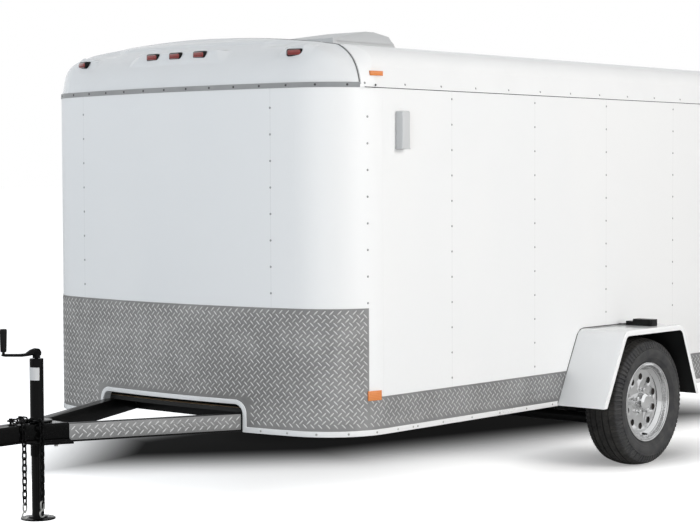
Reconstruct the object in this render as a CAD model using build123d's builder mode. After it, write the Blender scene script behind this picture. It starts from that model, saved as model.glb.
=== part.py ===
"""Enclosed single-axle utility trailer with a bowed front, standing level on its tongue jack.

Frame: millimetres, +Z up, the tongue points along -Y and +X is the road side.
The origin is on the ground, on the centreline, straight below the axle.
"""
from build123d import *
from math import asin, cos, radians, sin, sqrt, tan
import os

os.makedirs("parts", exist_ok=True)

# ---------------------------------------------------------------- driving dimensions, mm
# Clearances
SEAT_GAP = 0.3  # between pieces that lie on each other
DOOR_GAP = 6.0  # round a door leaf
TRACK_GAP = 5.0  # between a moving piece and what it passes

# Body shell
BODY_HALF_WIDTH = 950.0
BOW_Y = -2107.0  # foremost point of the front skin
BOW_RADIUS = 3630.0
CORNER_RADIUS = 298.0
REAR_Y = 1550.0
WALL = 38.0
SKIRT_Z = 318.0  # lower edge of the body
WALL_TOP_Z = 1788.0
FLOOR_THICKNESS = 19.0
REAR_FRAME_DEPTH = 60.0

# Roof section and moulded front cap
ROOF_WALL = 30.0
COVE_LEAN = 19.0  # how far the cove leans in over its straight part
COVE_BULGE = 16.0  # how far the cove's upper part swells out and up
COVE_KNEE_Z = 1876.0
SHOULDER_INSET = 104.0
SHOULDER_Z = 1965.0
SHOULDER_SHARE = 0.6  # share of an inset that the shoulder moves in by
CROWN_Z = 2028.0
CAP_SEAM_Y = -1864.0
ROOF_RUN_OUT = 60.0  # how far the roof's forms run past their cut ends
ROOF_CUT_RUN = 10.0  # how far the roof's hollow runs below its edge
CAP_RISE_STEPS = (  # height above the wall top, setback of the bow, narrowing of the sides
    (0.0, 0.0, 0.0),
    (72.0, 22.0, 6.0),
    (128.0, 60.0, 14.0),
    (176.0, 115.0, 26.0),
    (245.0, 215.0, 60.0),
)

# Chassis
RAIL_WIDTH = 50.0
RAIL_HEIGHT = 75.0
RAIL_TOP_Z = 397.0
HEADER_Y = -1790.0
CROSSMEMBER_PITCH = 406.0
CROSSMEMBER_COUNT = 8
CROSSMEMBER_WIDTH = 40.0
TONGUE_HALF_ANGLE = 25.0
TONGUE_APEX_Y = -3030.0  # where the rails' outer faces would meet
TONGUE_REAR_Y = -1384.0
RAIL_TIP_LENGTH = 120.0  # rail inside the coupler
SIDE_PLATE_HEIGHT = 67.0
SIDE_PLATE_THICKNESS = 3.0
CUTOUT_HALF_WIDTH = 444.0
CUTOUT_TOP_Z = 437.0
CUTOUT_RADIUS = 42.0
CUTOUT_RUN_OUT = 60.0  # how far the opening's form runs below the skirt

# Coupler and jack
BALL_Y = -3215.0
BALL_RADIUS = 25.4
BALL_PLAY = 0.4
BALL_COVER = 12.0  # coupler's top above the ball
GUSSET_THICKNESS = 8.0
COUPLER_REAR_Y = -2777.0
COUPLER_HALF_WIDTH = 47.0
COUPLER_PLATE = 6.0
COUPLER_EDGE_RADIUS = 8.0
GUSSET_REACH = 20.0  # jack plate behind the coupler's rear edge
LATCH_HALF_WIDTH = 14.0
LATCH_EDGE_RADIUS = 4.0
LATCH_PROFILE = (  # distance behind the ball, height above the coupler
    (-18.0, 0.0),
    (70.0, 0.0),
    (150.0, 26.0),
    (148.0, 34.0),
    (60.0, 20.0),
    (-18.0, 16.0),
)
JACK_Y = -2846.0
JACK_TUBE_RADIUS = 28.5
JACK_WALL = 3.0
JACK_TUBE_LOW_Z = 262.0
JACK_TUBE_TOP_Z = 667.0
JACK_FLANGE_RADIUS = 62.0
JACK_FLANGE_THICKNESS = 8.0
JACK_FLANGE_LIP = 2.0  # flange ahead of the tube
JACK_FOOT_RADIUS = 72.0
JACK_FOOT_THICKNESS = 6.0
JACK_HEAD_THICKNESS = 10.0
JACK_LEG_TOP_Z = 410.0
FOOT_COLLAR = 14.0  # foot's raised collar outside the leg
LEG_PLAY = 0.4
CRANK_SHAFT_RADIUS = 8.0
CRANK_ARM_Z = 694.0
CRANK_REACH = 172.0
CRANK_BEND = 12.0
CRANK_GRIP_TOP_Z = 800.0
CRANK_GRIP_RADIUS = 15.0
CRANK_GRIP_LENGTH = 88.0

# Safety chains
LINK_WIRE = 7.0
LINK_INNER_LENGTH = 27.0
LINK_INNER_WIDTH = 11.0
LINK_SLACK = 0.5
LINK_BEND_SLACK = 1.6
CHAIN_ROWS = (  # distance along the tongue, flat links on top of the coupler
    (-2892.0, 3),
    (-2965.0, 2),
)
CHAIN_DROP_PAIRS = 6  # flat and upright link pairs that hang
CHAIN_POST_RADIUS = 5.0
CHAIN_POST_HEAD = 8.0
CHAIN_EDGE_SHIFT = 0.9  # end of the level run outside the coupler's side
CHAIN_POST_SHIFT = 3.0  # bolt behind the middle of the first link
LINK_CHAMFER = 7.0
HOOK_RADIUS = 18.0
HOOK_INNER_RADIUS = 9.0
HOOK_DROP = 33.0  # hook's round below its eye's middle

# Running gear
WHEEL_RADIUS = 312.0
WHEEL_STANDOFF = 138.0  # wheel's middle outside the body's side
TYRE_WIDTH = 205.0
BEAD_RADIUS = 178.0
RIM_FLANGE_RADIUS = 194.0
RIM_WIDTH = 164.0
RIM_SHEET = 7.0
DISC_SHEET = 6.0
DISC_STEP = 16.0
DISC_INSET = 43.0  # wheel disc behind the outer flange's plane
VENT_HOLE_COUNT = 10
VENT_HOLE_CIRCLE = 121.0
VENT_HOLE_RADIUS = 16.0
VENT_HOLE_TURN = 18.0  # first hole's turn from the front, degrees
STUD_COUNT = 5
STUD_CIRCLE = 57.15
STUD_RADIUS = 6.0
NUT_RADIUS = 11.0
NUT_HEIGHT = 22.0
HUB_BORE_RADIUS = 41.0
HUB_RADIUS = 34.0
CAP_REACH = 40.0
CAP_TAPER_RUN = 10.0
CAP_TAPER_DROP = 12.0
DRUM_RADIUS = 140.0
DRUM_WIDTH = 70.0
DRUM_WALL = 9.0
BACKING_THICKNESS = 4.0
BACKING_LAP = 2.0  # backing plate outside the drum
SHOULDER_IN = 26.0  # tyre shoulder in from the sidewall
SHOULDER_DROP = 12.0
SPINDLE_RADIUS = 22.0
AXLE_TUBE_RADIUS = 30.0
AXLE_DROP = 102.0
AXLE_BEND = 24.0
RISER_OFFSET = 32.0  # riser of the beam, outside the spring
RISER_RUN = 50.0
SPRING_WIDTH = 45.0
SPRING_SPAN = 640.0
SPRING_LEAF = 9.0
SPRING_LEAF_SHARES = (0.45, 0.72, 1.0)  # half spans, from the axle up
SPRING_SEAT_LENGTH = 110.0
SPRING_SEAT_RISE = 6.0
EYE_PIN_RADIUS = 6.0
EYE_RADIUS = 14.0
EYE_DROP = 26.0  # spring eyes below the chassis rails
EYE_PLAY = 1.0
HANGER_RADIUS = 16.8
HANGER_PLATE = 5.0

# Fenders
FENDER_REACH = 265.6
FENDER_SHEET = 4.0
FENDER_LIP = 26.0
FENDER_BOTTOM_Z = 320.0
FENDER_TOP_Z = 676.0
FENDER_FRONT_Y = -456.0
FENDER_REAR_Y = 408.0
FENDER_TOP_FRONT_Y = -272.0
FENDER_TOP_REAR_Y = 258.0
FENDER_CORNER_RADIUS = 62.0

# Cladding and trims
CLADDING = 2.0
STONE_GUARD_TOP_Z = 858.0
STONE_GUARD_REAR_Y = -1828.0
SIDE_BAND_TOP_Z = 479.0
BOTTOM_TRIM_HEIGHT = 24.0
BOTTOM_TRIM_PROUD = 5.0
CUTOUT_TRIM_WIDTH = 20.0
FRONT_TRIM_HEIGHT = 22.0

# Doors and their hinges
REAR_LEAF_TOP_Z = 1742.0
REAR_POST_WIDTH = 88.0  # rear door hinge in from the body's side
SILL_TOP_Z = 424.0
SIDE_DOOR_FRONT_Y = -1560.0
SIDE_DOOR_WIDTH = 812.0
SIDE_DOOR_TOP_Z = 1690.0
HINGE_EDGE = 3.0  # hinge axis in from the opening and out from the leaf
HINGE_STANDOFF = 13.0  # hinge axis outside the leaf's outer face
HINGE_BARREL_RADIUS = 11.0
HINGE_PIN_RADIUS = 6.0
HINGE_PIN_PLAY = 0.3
HINGE_HEIGHT = 100.0
STRAP_LENGTH = 210.0
STRAP_THICKNESS = 5.0
LOCK_BAR_RADIUS = 12.0
LOCK_BAR_STANDOFF = 24.0

# Roof vent
VENT_REAR_Y = -760.0
VENT_LENGTH = 460.0
VENT_WIDTH = 420.0
VENT_CURB_RISE = 18.0  # curb's top over the roof's crown
VENT_LID_RISE = 68.0  # lid's crest over the curb's top
VENT_HOLE = 340.0

# Door hardware and plate
HINGE_SHARES = (0.1, 0.45, 0.8)  # hinge heights along a leaf
HINGE_PLATE_LENGTH = 56.0
LOCK_BAR_X = 110.0
LOCK_GUIDE_SHARES = (0.06, 0.36, 0.64, 0.94)
LOCK_GUIDE_WIDTH = 56.0
LOCK_GUIDE_HEIGHT = 60.0
LOCK_GUIDE_CORNER = 6.0
LOCK_HANDLE_LENGTH = 260.0
LOCK_HANDLE_HEIGHT = 28.0
LOCK_HANDLE_CORNER = 8.0
LOCK_HANDLE_Z = 980.0
SIDE_DOOR_CORNER = 40.0
LATCH_PLATE_WIDTH = 90.0
LATCH_PLATE_HEIGHT = 120.0
LATCH_PLATE_THICKNESS = 8.0
LATCH_PLATE_CORNER = 10.0
LATCH_GRIP_WIDTH = 72.0
LATCH_GRIP_HEIGHT = 30.0
LATCH_GRIP_CORNER = 6.0
LATCH_PLATE_Z = 1060.0
PLATE_INSET = 470.0  # plate's middle in from the body's side
PLATE_Z = 640.0
PLATE_WIDTH = 318.0
PLATE_HEIGHT = 166.0
PLATE_THICKNESS = 6.0
PLATE_CORNER = 10.0
PLATE_HOLE_X = 177.8
PLATE_HOLE_Z = 120.65
PLATE_HOLE_RADIUS = 3.5

# Lamps and small vents
FENDER_LAMP_INSET = 62.0
FENDER_LAMP_Y = 85.0
FENDER_LAMP_WIDTH = 58.0
FENDER_LAMP_STEPS = ((150.0, 20.0), (110.0, 32.0))  # length, height
CAP_LAMP_PITCH = 148.0  # between the three middle lamps
CORNER_LAMP_INSET = 295.0  # outer lamp in from the body's side
CAP_LAMP_Z = 1945.0
CAP_LAMP_FACE = 66.0  # lamp face behind the bow
CAP_LAMP_DEPTH = 100.0  # block that the lamp is cut from
LAMP_LENGTH = 72.0
LAMP_HEIGHT = 30.0
LAMP_CORNER = 6.0
SIDE_LAMP_Y = -1777.0
SIDE_LAMP_Z = 1847.0
SIDE_LAMP_HEIGHT = 20.0
SIDE_LAMP_DEPTH = 30.0  # block that the lamp is cut from, in from the wall's plane
REFLECTOR_Y = -1800.0
REFLECTOR_Z = 487.0
REFLECTOR_LENGTH = 72.0
REFLECTOR_HEIGHT = 42.0
REFLECTOR_THICKNESS = 5.0
TAIL_LAMP_Z = 700.0
TAIL_LAMP_WIDTH = 58.0
TAIL_LAMP_HEIGHT = 160.0
TAIL_LAMP_CORNER = 28.0
TAIL_LAMP_THICKNESS = 14.0
SIDE_VENT_Y = -1635.0
SIDE_VENT_Z = 1610.0
SIDE_VENT_WIDTH = 52.0
SIDE_VENT_HEIGHT = 163.0
SIDE_VENT_PROUD = 40.0
SIDE_VENT_CORNER = 8.0
FRONT_TRIM_LAP = 2.0
CURB_INSET = 12.0
LID_LAP = 8.0
LID_SHEET = 4.0
LID_FRONT_RISE = 16.0  # lid's front edge over the curb's top
LID_CREST = 120.0
LID_SEAT = 24.0  # inner edge of the lid's seat, in from the lid's sides
VENT_HINGE_X = (-120.0, 120.0)
VENT_BARREL_RADIUS = 6.0
VENT_BARREL_LENGTH = 40.0
VENT_BARREL_LAP = 1.0
VENT_PIN_RADIUS = 3.0
VENT_LUG = 6.0
VENT_LUG_RADIUS = 4.5
VENT_LUG_DROP = 16.0  # hinge lug's foot under the curb's top
VENT_LUG_SHEET = 3.0

# ---------------------------------------------------------------- derived places
INNER_HALF_WIDTH = BODY_HALF_WIDTH - WALL
WHEEL_CENTRE_X = BODY_HALF_WIDTH + WHEEL_STANDOFF
REAR_HINGE_X = BODY_HALF_WIDTH - REAR_POST_WIDTH
CORNER_LAMP_X = BODY_HALF_WIDTH - CORNER_LAMP_INSET
CAP_LAMP_X = (-CORNER_LAMP_X, -CAP_LAMP_PITCH, 0.0, CAP_LAMP_PITCH, CORNER_LAMP_X)
CORNER_X = BODY_HALF_WIDTH - CORNER_RADIUS
PLATE_X = BODY_HALF_WIDTH - PLATE_INSET
VENT_CURB_TOP_Z = CROWN_Z + VENT_CURB_RISE
VENT_TOP_Z = VENT_CURB_TOP_Z + VENT_LID_RISE
VENT_LUG_Z = VENT_CURB_TOP_Z - VENT_LUG_DROP
LID_FRONT_Z = VENT_CURB_TOP_Z + LID_FRONT_RISE
BOW_CENTRE_Y = BOW_Y + BOW_RADIUS
SIDE_START_Y = BOW_CENTRE_Y - sqrt((BOW_RADIUS - CORNER_RADIUS) ** 2 - CORNER_X**2)
RAIL_LOW_Z = RAIL_TOP_Z - RAIL_HEIGHT
EYE_Z = RAIL_LOW_Z - EYE_DROP
FLOOR_LOW_Z = RAIL_TOP_Z + SEAT_GAP
ROOF_LOW_Z = WALL_TOP_Z + SEAT_GAP
REAR_FRAME_Y = REAR_Y - REAR_FRAME_DEPTH
TONGUE_SLOPE = tan(radians(TONGUE_HALF_ANGLE))
PLATE_SHIFT = SIDE_PLATE_THICKNESS / cos(radians(TONGUE_HALF_ANGLE))
AXLE_Z = WHEEL_RADIUS
BEAM_Z = AXLE_Z - AXLE_DROP
FLANGE_X = WHEEL_CENTRE_X + RIM_WIDTH / 2
HANGER_HALF_WIDTH = SPRING_WIDTH / 2 + SEAT_GAP + HANGER_PLATE
SPRING_X = INNER_HALF_WIDTH - SEAT_GAP - HANGER_HALF_WIDTH
FRONT_REACH_Y = BOW_Y - WALL  # plane clear of the front skin
FRONT_DEPTH = SIDE_START_Y - FRONT_REACH_Y
SIDES = (("left", 1), ("right", -1))  # node suffix, sign of X


def handed(part, sign):
    """The piece as modelled on the road side, or its mirror image for the kerb side."""
    return part if sign > 0 else mirror(part, about=Plane.YZ, mode=Mode.PRIVATE)


def rail_plan(grow=0.0):
    """Plan faces of the two converging tongue rails, widened by grow on every side."""
    skew = (RAIL_WIDTH + 2 * grow) / cos(radians(TONGUE_HALF_ANGLE))
    step = grow / cos(radians(TONGUE_HALF_ANGLE))
    front_y = COUPLER_REAR_Y - RAIL_TIP_LENGTH
    rear_x = (TONGUE_REAR_Y - TONGUE_APEX_Y) * TONGUE_SLOPE + step
    front_x = (front_y - TONGUE_APEX_Y) * TONGUE_SLOPE + step
    with BuildSketch() as plan:
        with BuildLine():
            Polyline(
                (rear_x, TONGUE_REAR_Y + grow),
                (front_x, front_y),
                (front_x - skew, front_y),
                (rear_x - skew, TONGUE_REAR_Y + grow),
                close=True,
            )
        make_face()
        mirror(about=Plane.YZ)
    return plan.sketch


def finish_node(builder, label):
    """Labels a finished piece and writes its STEP file."""
    builder.part.label = label
    export_step(builder.part, f"parts/{label}.step")


def body_plan(inset=0.0, rear_y=REAR_Y, setback=0.0, narrowing=0.0):
    """Plan outline of the body: straight sides, round corners and a bowed front.

    inset moves the whole outline in, setback only the front and narrowing only the sides.
    """
    half = BODY_HALF_WIDTH - inset - narrowing
    bow_r = BOW_RADIUS - inset
    corner_r = CORNER_RADIUS - inset
    corner_x = CORNER_X - narrowing
    centre_y = BOW_CENTRE_Y + setback
    side_y = centre_y - sqrt((BOW_RADIUS - CORNER_RADIUS) ** 2 - corner_x**2)
    lean = asin(corner_x / (BOW_RADIUS - CORNER_RADIUS))
    corner_mid = (radians(90) - lean) / 2
    bow_end = (bow_r * sin(lean), centre_y - bow_r * cos(lean))
    arc_mid = (corner_x + corner_r * cos(corner_mid), side_y - corner_r * sin(corner_mid))
    bow_mid = (bow_r * sin(lean / 2), centre_y - bow_r * cos(lean / 2))
    with BuildSketch() as plan:
        with BuildLine():
            Polyline((0, rear_y), (half, rear_y), (half, side_y))
            ThreePointArc((half, side_y), arc_mid, bow_end)
            ThreePointArc(bow_end, bow_mid, (0, centre_y - bow_r))
            mirror(about=Plane.YZ)
        make_face()
    return plan.sketch


def plan_band(outer, inner, low_z, high_z, front_y, rear_y):
    """Upright band between two outsets of the plan, cut off ahead of front_y and behind rear_y."""
    with BuildPart() as band:
        with BuildSketch(Plane.XY.offset(low_z)):
            add(body_plan(-outer))
            add(body_plan(-inner, REAR_Y + ROOF_RUN_OUT), mode=Mode.SUBTRACT)
            with Locations((0, (front_y + rear_y) / 2)):
                Rectangle(4 * BODY_HALF_WIDTH, rear_y - front_y, mode=Mode.INTERSECT)
        extrude(amount=high_z - low_z)
    return band.part


def roof_section(inset=0.0, low_z=ROOF_LOW_Z, flare=0.0):
    """Section across the roof: leaning cove, round shoulder and low crown.

    inset moves the section in, and flare widens its foot at low_z.
    """
    half = BODY_HALF_WIDTH - inset + flare
    knee = (BODY_HALF_WIDTH - inset - COVE_LEAN, COVE_KNEE_Z)
    shoulder = (BODY_HALF_WIDTH - SHOULDER_INSET - inset * SHOULDER_SHARE, SHOULDER_Z - inset)
    cove_mid = (
        (knee[0] + shoulder[0]) / 2 + COVE_BULGE,
        (knee[1] + shoulder[1]) / 2 + COVE_BULGE,
    )
    with BuildSketch() as section:
        with BuildLine():
            Polyline((0, low_z), (half, low_z), knee)
            ThreePointArc(knee, cove_mid, shoulder)
            ThreePointArc(shoulder, (0, CROWN_Z - inset), (-shoulder[0], shoulder[1]))
            ThreePointArc((-shoulder[0], shoulder[1]), (-cove_mid[0], cove_mid[1]), (-knee[0], knee[1]))
            Polyline((-knee[0], knee[1]), (-half, low_z), (0, low_z))
        make_face()
    return section.sketch


def cutout_face(grow=0.0):
    """Front-view face of the opening that the tongue passes through."""
    with BuildSketch() as opening:
        with Locations((0, (SKIRT_Z + CUTOUT_TOP_Z) / 2)):
            Rectangle(2 * (CUTOUT_HALF_WIDTH + grow), CUTOUT_TOP_Z - SKIRT_Z + 2 * grow)
        fillet(opening.vertices().group_by(Axis.Y)[-1], CUTOUT_RADIUS + grow)
        with Locations((0, SKIRT_Z)):
            Rectangle(2 * (CUTOUT_HALF_WIDTH + grow), 2 * CUTOUT_RUN_OUT)
    return opening.sketch


def canopy_form(inset=0.0, low_z=ROOF_LOW_Z):
    """Roof and front cap in one closed form, moved in by inset and run down to low_z.

    The plan outline draws in over rising levels, and the roof's cross-section trims it.
    """
    with BuildPart() as form:
        for rise, setback, narrowing in CAP_RISE_STEPS:
            with BuildSketch(Plane.XY.offset(ROOF_LOW_Z + rise)):
                add(body_plan(inset, REAR_Y + ROOF_RUN_OUT, setback, narrowing))
        loft()
        if low_z < ROOF_LOW_Z:
            with BuildSketch(Plane.XY.offset(low_z)):
                add(body_plan(inset, REAR_Y + ROOF_RUN_OUT))
            extrude(amount=ROOF_LOW_Z - low_z)
        foot_z = low_z - ROOF_RUN_OUT
        flare = COVE_LEAN * ROOF_RUN_OUT / (COVE_KNEE_Z - ROOF_LOW_Z) + SEAT_GAP
        with BuildSketch(Plane.XZ.offset(-REAR_Y - 2 * ROOF_RUN_OUT)):
            add(roof_section(inset, foot_z, flare))
        extrude(amount=REAR_Y - BOW_Y + 4 * ROOF_RUN_OUT, mode=Mode.INTERSECT)
    return form.part


# ---------------------------------------------------------------- chassis
with BuildPart() as tongue_rails:
    with BuildSketch(Plane.XY.offset(RAIL_LOW_Z)):
        add(rail_plan())
        with Locations((0, JACK_Y)):
            Circle(JACK_TUBE_RADIUS + SEAT_GAP, mode=Mode.SUBTRACT)
    extrude(amount=RAIL_HEIGHT)
finish_node(tongue_rails, "tongue_rails")

FRAME_OUTER_X = INNER_HALF_WIDTH - SEAT_GAP
FRAME_FRONT_Y = HEADER_Y - RAIL_WIDTH / 2
FRAME_REAR_Y = REAR_FRAME_Y - SEAT_GAP
with BuildPart() as frame:
    with BuildSketch(Plane.XY.offset(RAIL_LOW_Z)):
        for sign in (1, -1):
            with Locations((sign * (FRAME_OUTER_X - RAIL_WIDTH / 2), (FRAME_FRONT_Y + FRAME_REAR_Y) / 2)):
                Rectangle(RAIL_WIDTH, FRAME_REAR_Y - FRAME_FRONT_Y)
        for index in range(CROSSMEMBER_COUNT):
            with Locations((0, HEADER_Y + index * CROSSMEMBER_PITCH)):
                Rectangle(2 * FRAME_OUTER_X - RAIL_WIDTH, CROSSMEMBER_WIDTH)
        with Locations((0, FRAME_REAR_Y - CROSSMEMBER_WIDTH / 2)):
            Rectangle(2 * FRAME_OUTER_X - RAIL_WIDTH, CROSSMEMBER_WIDTH)
        add(rail_plan(SEAT_GAP), mode=Mode.SUBTRACT)
        add(body_plan(WALL + SEAT_GAP), mode=Mode.INTERSECT)
    extrude(amount=RAIL_HEIGHT)
    for sign in (1, -1):
        for eye_y in (-SPRING_SPAN / 2, SPRING_SPAN / 2):
            with BuildSketch(Plane.YZ.offset(sign * SPRING_X - HANGER_HALF_WIDTH)):
                with Locations((eye_y, (EYE_Z + RAIL_LOW_Z) / 2)):
                    Rectangle(2 * HANGER_RADIUS, RAIL_LOW_Z - EYE_Z)
                with Locations((eye_y, EYE_Z)):
                    Circle(HANGER_RADIUS)
            extrude(amount=2 * HANGER_HALF_WIDTH)
            with BuildSketch(Plane.YZ.offset(sign * SPRING_X - SPRING_WIDTH / 2 - SEAT_GAP)):
                with Locations((eye_y, EYE_Z - 2 * EYE_RADIUS)):
                    Rectangle(4 * EYE_RADIUS, 2 * (3 * EYE_RADIUS + EYE_PLAY))
            extrude(amount=SPRING_WIDTH + 2 * SEAT_GAP, mode=Mode.SUBTRACT)
            with BuildSketch(Plane.YZ.offset(sign * SPRING_X - HANGER_HALF_WIDTH)):
                with Locations((eye_y, EYE_Z)):
                    Circle(EYE_PIN_RADIUS)
            extrude(amount=2 * HANGER_HALF_WIDTH)
finish_node(frame, "chassis_frame")

PLATE_FRONT_Y = COUPLER_REAR_Y + SEAT_GAP
PLATE_REAR_Y = TONGUE_APEX_Y + (CUTOUT_HALF_WIDTH - 2 * SIDE_PLATE_THICKNESS) / TONGUE_SLOPE
with BuildPart() as side_plates:
    with BuildSketch(Plane.XY.offset(RAIL_TOP_Z - SIDE_PLATE_HEIGHT)):
        with BuildLine():
            plate_front_x = (PLATE_FRONT_Y - TONGUE_APEX_Y) * TONGUE_SLOPE
            plate_rear_x = (PLATE_REAR_Y - TONGUE_APEX_Y) * TONGUE_SLOPE
            Polyline(
                (plate_front_x, PLATE_FRONT_Y),
                (plate_rear_x, PLATE_REAR_Y),
                (plate_rear_x + PLATE_SHIFT, PLATE_REAR_Y),
                (plate_front_x + PLATE_SHIFT, PLATE_FRONT_Y),
                close=True,
            )
        make_face()
        mirror(about=Plane.YZ)
    extrude(amount=SIDE_PLATE_HEIGHT)
finish_node(side_plates, "tongue_side_plates")

# Coupler: a folded channel over the rails' tips that narrows to the ball housing
COUPLER_TOP_Z = RAIL_TOP_Z + SEAT_GAP + COUPLER_PLATE
COUPLER_LOW_Z = RAIL_TOP_Z - SIDE_PLATE_HEIGHT
BALL_Z = COUPLER_TOP_Z - BALL_COVER - BALL_RADIUS


def coupler_plan(shrink=0.0):
    """Plan of the coupler from its rear edge to the ball, moved in by shrink."""
    rear_x = (COUPLER_REAR_Y - TONGUE_APEX_Y) * TONGUE_SLOPE + PLATE_SHIFT - shrink
    half = COUPLER_HALF_WIDTH - shrink
    neck_y = COUPLER_REAR_Y - (rear_x - half) / TONGUE_SLOPE
    with BuildSketch() as plan:
        with BuildLine():
            Polyline(
                (0, COUPLER_REAR_Y),
                (rear_x, COUPLER_REAR_Y),
                (half, neck_y),
                (half, BALL_Y),
                (0, BALL_Y),
            )
            mirror(about=Plane.YZ)
        make_face()
        with Locations((0, BALL_Y)):
            Circle(half)
    return plan.sketch


# Chain line: flat links lie level above the coupler, so that upright ones just clear it
LINK_WIDTH = LINK_INNER_WIDTH + 2 * LINK_WIRE
LINK_LENGTH = LINK_INNER_LENGTH + 2 * LINK_WIRE
FLAT_PITCH = LINK_INNER_LENGTH + LINK_WIRE  # between the end wires of a flat link
UPRIGHT_HALF = (LINK_INNER_LENGTH - LINK_WIRE) / 2 - LINK_SLACK  # upright link's middle to the next end
BEND_HALF = (LINK_INNER_LENGTH - LINK_WIRE) / 2 - LINK_BEND_SLACK
CHAIN_LINE_Z = COUPLER_TOP_Z + LINK_WIDTH / 2 + SEAT_GAP


def chain_side(row_y):
    """X of the coupler's side where a chain at row_y runs over it."""
    slant = (COUPLER_REAR_Y - TONGUE_APEX_Y) * TONGUE_SLOPE + PLATE_SHIFT
    return max(COUPLER_HALF_WIDTH, slant - (COUPLER_REAR_Y - row_y - LINK_WIRE) * TONGUE_SLOPE)


def chain_start(row):
    """Plan position of the bolt that holds a chain's first link."""
    row_y, flat_count = row
    edge_x = chain_side(row_y) + CHAIN_EDGE_SHIFT
    run = flat_count * FLAT_PITCH + (flat_count - 1) * 2 * UPRIGHT_HALF
    return (edge_x - run + FLAT_PITCH / 2 - CHAIN_POST_SHIFT, row_y)


with BuildPart() as coupler:
    with BuildSketch(Plane.XY.offset(COUPLER_LOW_Z)):
        add(coupler_plan())
    extrude(amount=COUPLER_TOP_Z - COUPLER_LOW_Z)
    top_edges = coupler.edges().group_by(Axis.Z)[-1]
    fillet(top_edges.filter_by(lambda e: e.center().Y < COUPLER_REAR_Y - SEAT_GAP), COUPLER_EDGE_RADIUS)
    with BuildSketch(Plane.XY.offset(COUPLER_LOW_Z)):
        add(coupler_plan(SIDE_PLATE_THICKNESS - SEAT_GAP))
        with Locations((0, BALL_Y)):
            Rectangle(3 * COUPLER_HALF_WIDTH, 3 * COUPLER_HALF_WIDTH, mode=Mode.SUBTRACT)
        add(rail_plan(SEAT_GAP))
    extrude(amount=RAIL_TOP_Z + SEAT_GAP - COUPLER_LOW_Z, mode=Mode.SUBTRACT)
    with Locations((0, BALL_Y, BALL_Z)):
        Sphere(BALL_RADIUS + BALL_PLAY, mode=Mode.SUBTRACT)
    with BuildSketch(Plane.XY.offset(COUPLER_LOW_Z)):
        with Locations((0, BALL_Y)):
            Circle(BALL_RADIUS + BALL_PLAY)
    extrude(amount=BALL_Z - COUPLER_LOW_Z, mode=Mode.SUBTRACT)
    with BuildSketch(Plane.XY.offset(COUPLER_LOW_Z)):
        with Locations((0, JACK_Y)):
            Circle(JACK_TUBE_RADIUS + SEAT_GAP)
    extrude(amount=COUPLER_TOP_Z - COUPLER_LOW_Z, mode=Mode.SUBTRACT)
    for row in CHAIN_ROWS:
        post = chain_start(row)
        with BuildSketch(Plane.XY.offset(COUPLER_TOP_Z - COUPLER_PLATE)):
            with Locations(post):
                Circle(CHAIN_POST_RADIUS)
        extrude(amount=CHAIN_LINE_Z + LINK_WIRE + SEAT_GAP - COUPLER_TOP_Z + COUPLER_PLATE)
        with BuildSketch(Plane.XY.offset(CHAIN_LINE_Z + LINK_WIRE / 2 + SEAT_GAP)):
            with Locations(post):
                RegularPolygon(CHAIN_POST_HEAD, 6)
        extrude(amount=LINK_WIRE)
finish_node(coupler, "coupler")

# Safety chains: level run on the coupler, one link over its edge, then a plumb run to a hook
LEVEL = (1, 0, 0)
ACROSS = (0, 1, 0)
UP = (0, 0, 1)
DOWN = (0, 0, -1)
SLANT = (1, 0, -1)
SLANT_UP = (1, 0, 1)


def link_face():
    """Face of one link, its length along X."""
    with BuildSketch() as face:
        Rectangle(LINK_LENGTH, LINK_WIDTH)
        chamfer(face.vertices(), LINK_CHAMFER)
        Rectangle(LINK_INNER_LENGTH, LINK_INNER_WIDTH, mode=Mode.SUBTRACT)
    return face.sketch


def hook_face():
    """Face of a hook: an eye like a link's, and an open round below it along X."""
    with BuildSketch() as face:
        with Locations((HOOK_DROP, 0)):
            Circle(HOOK_RADIUS)
            Circle(HOOK_INNER_RADIUS, mode=Mode.SUBTRACT)
        with Locations((HOOK_DROP - HOOK_RADIUS / 2, HOOK_RADIUS / 2)):
            Rectangle(HOOK_RADIUS, HOOK_RADIUS, mode=Mode.SUBTRACT)
        add(link_face())
    return face.sketch


def chain_piece(face, centre, run, width_axis):
    """A face made one wire thick round centre, its X along run and its Y along width_axis."""
    with BuildPart() as piece:
        with BuildSketch(Plane(origin=centre, x_dir=run, z_dir=Vector(*run).cross(Vector(*width_axis)))):
            add(face)
        extrude(amount=LINK_WIRE / 2, both=True)
    return piece.part


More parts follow.
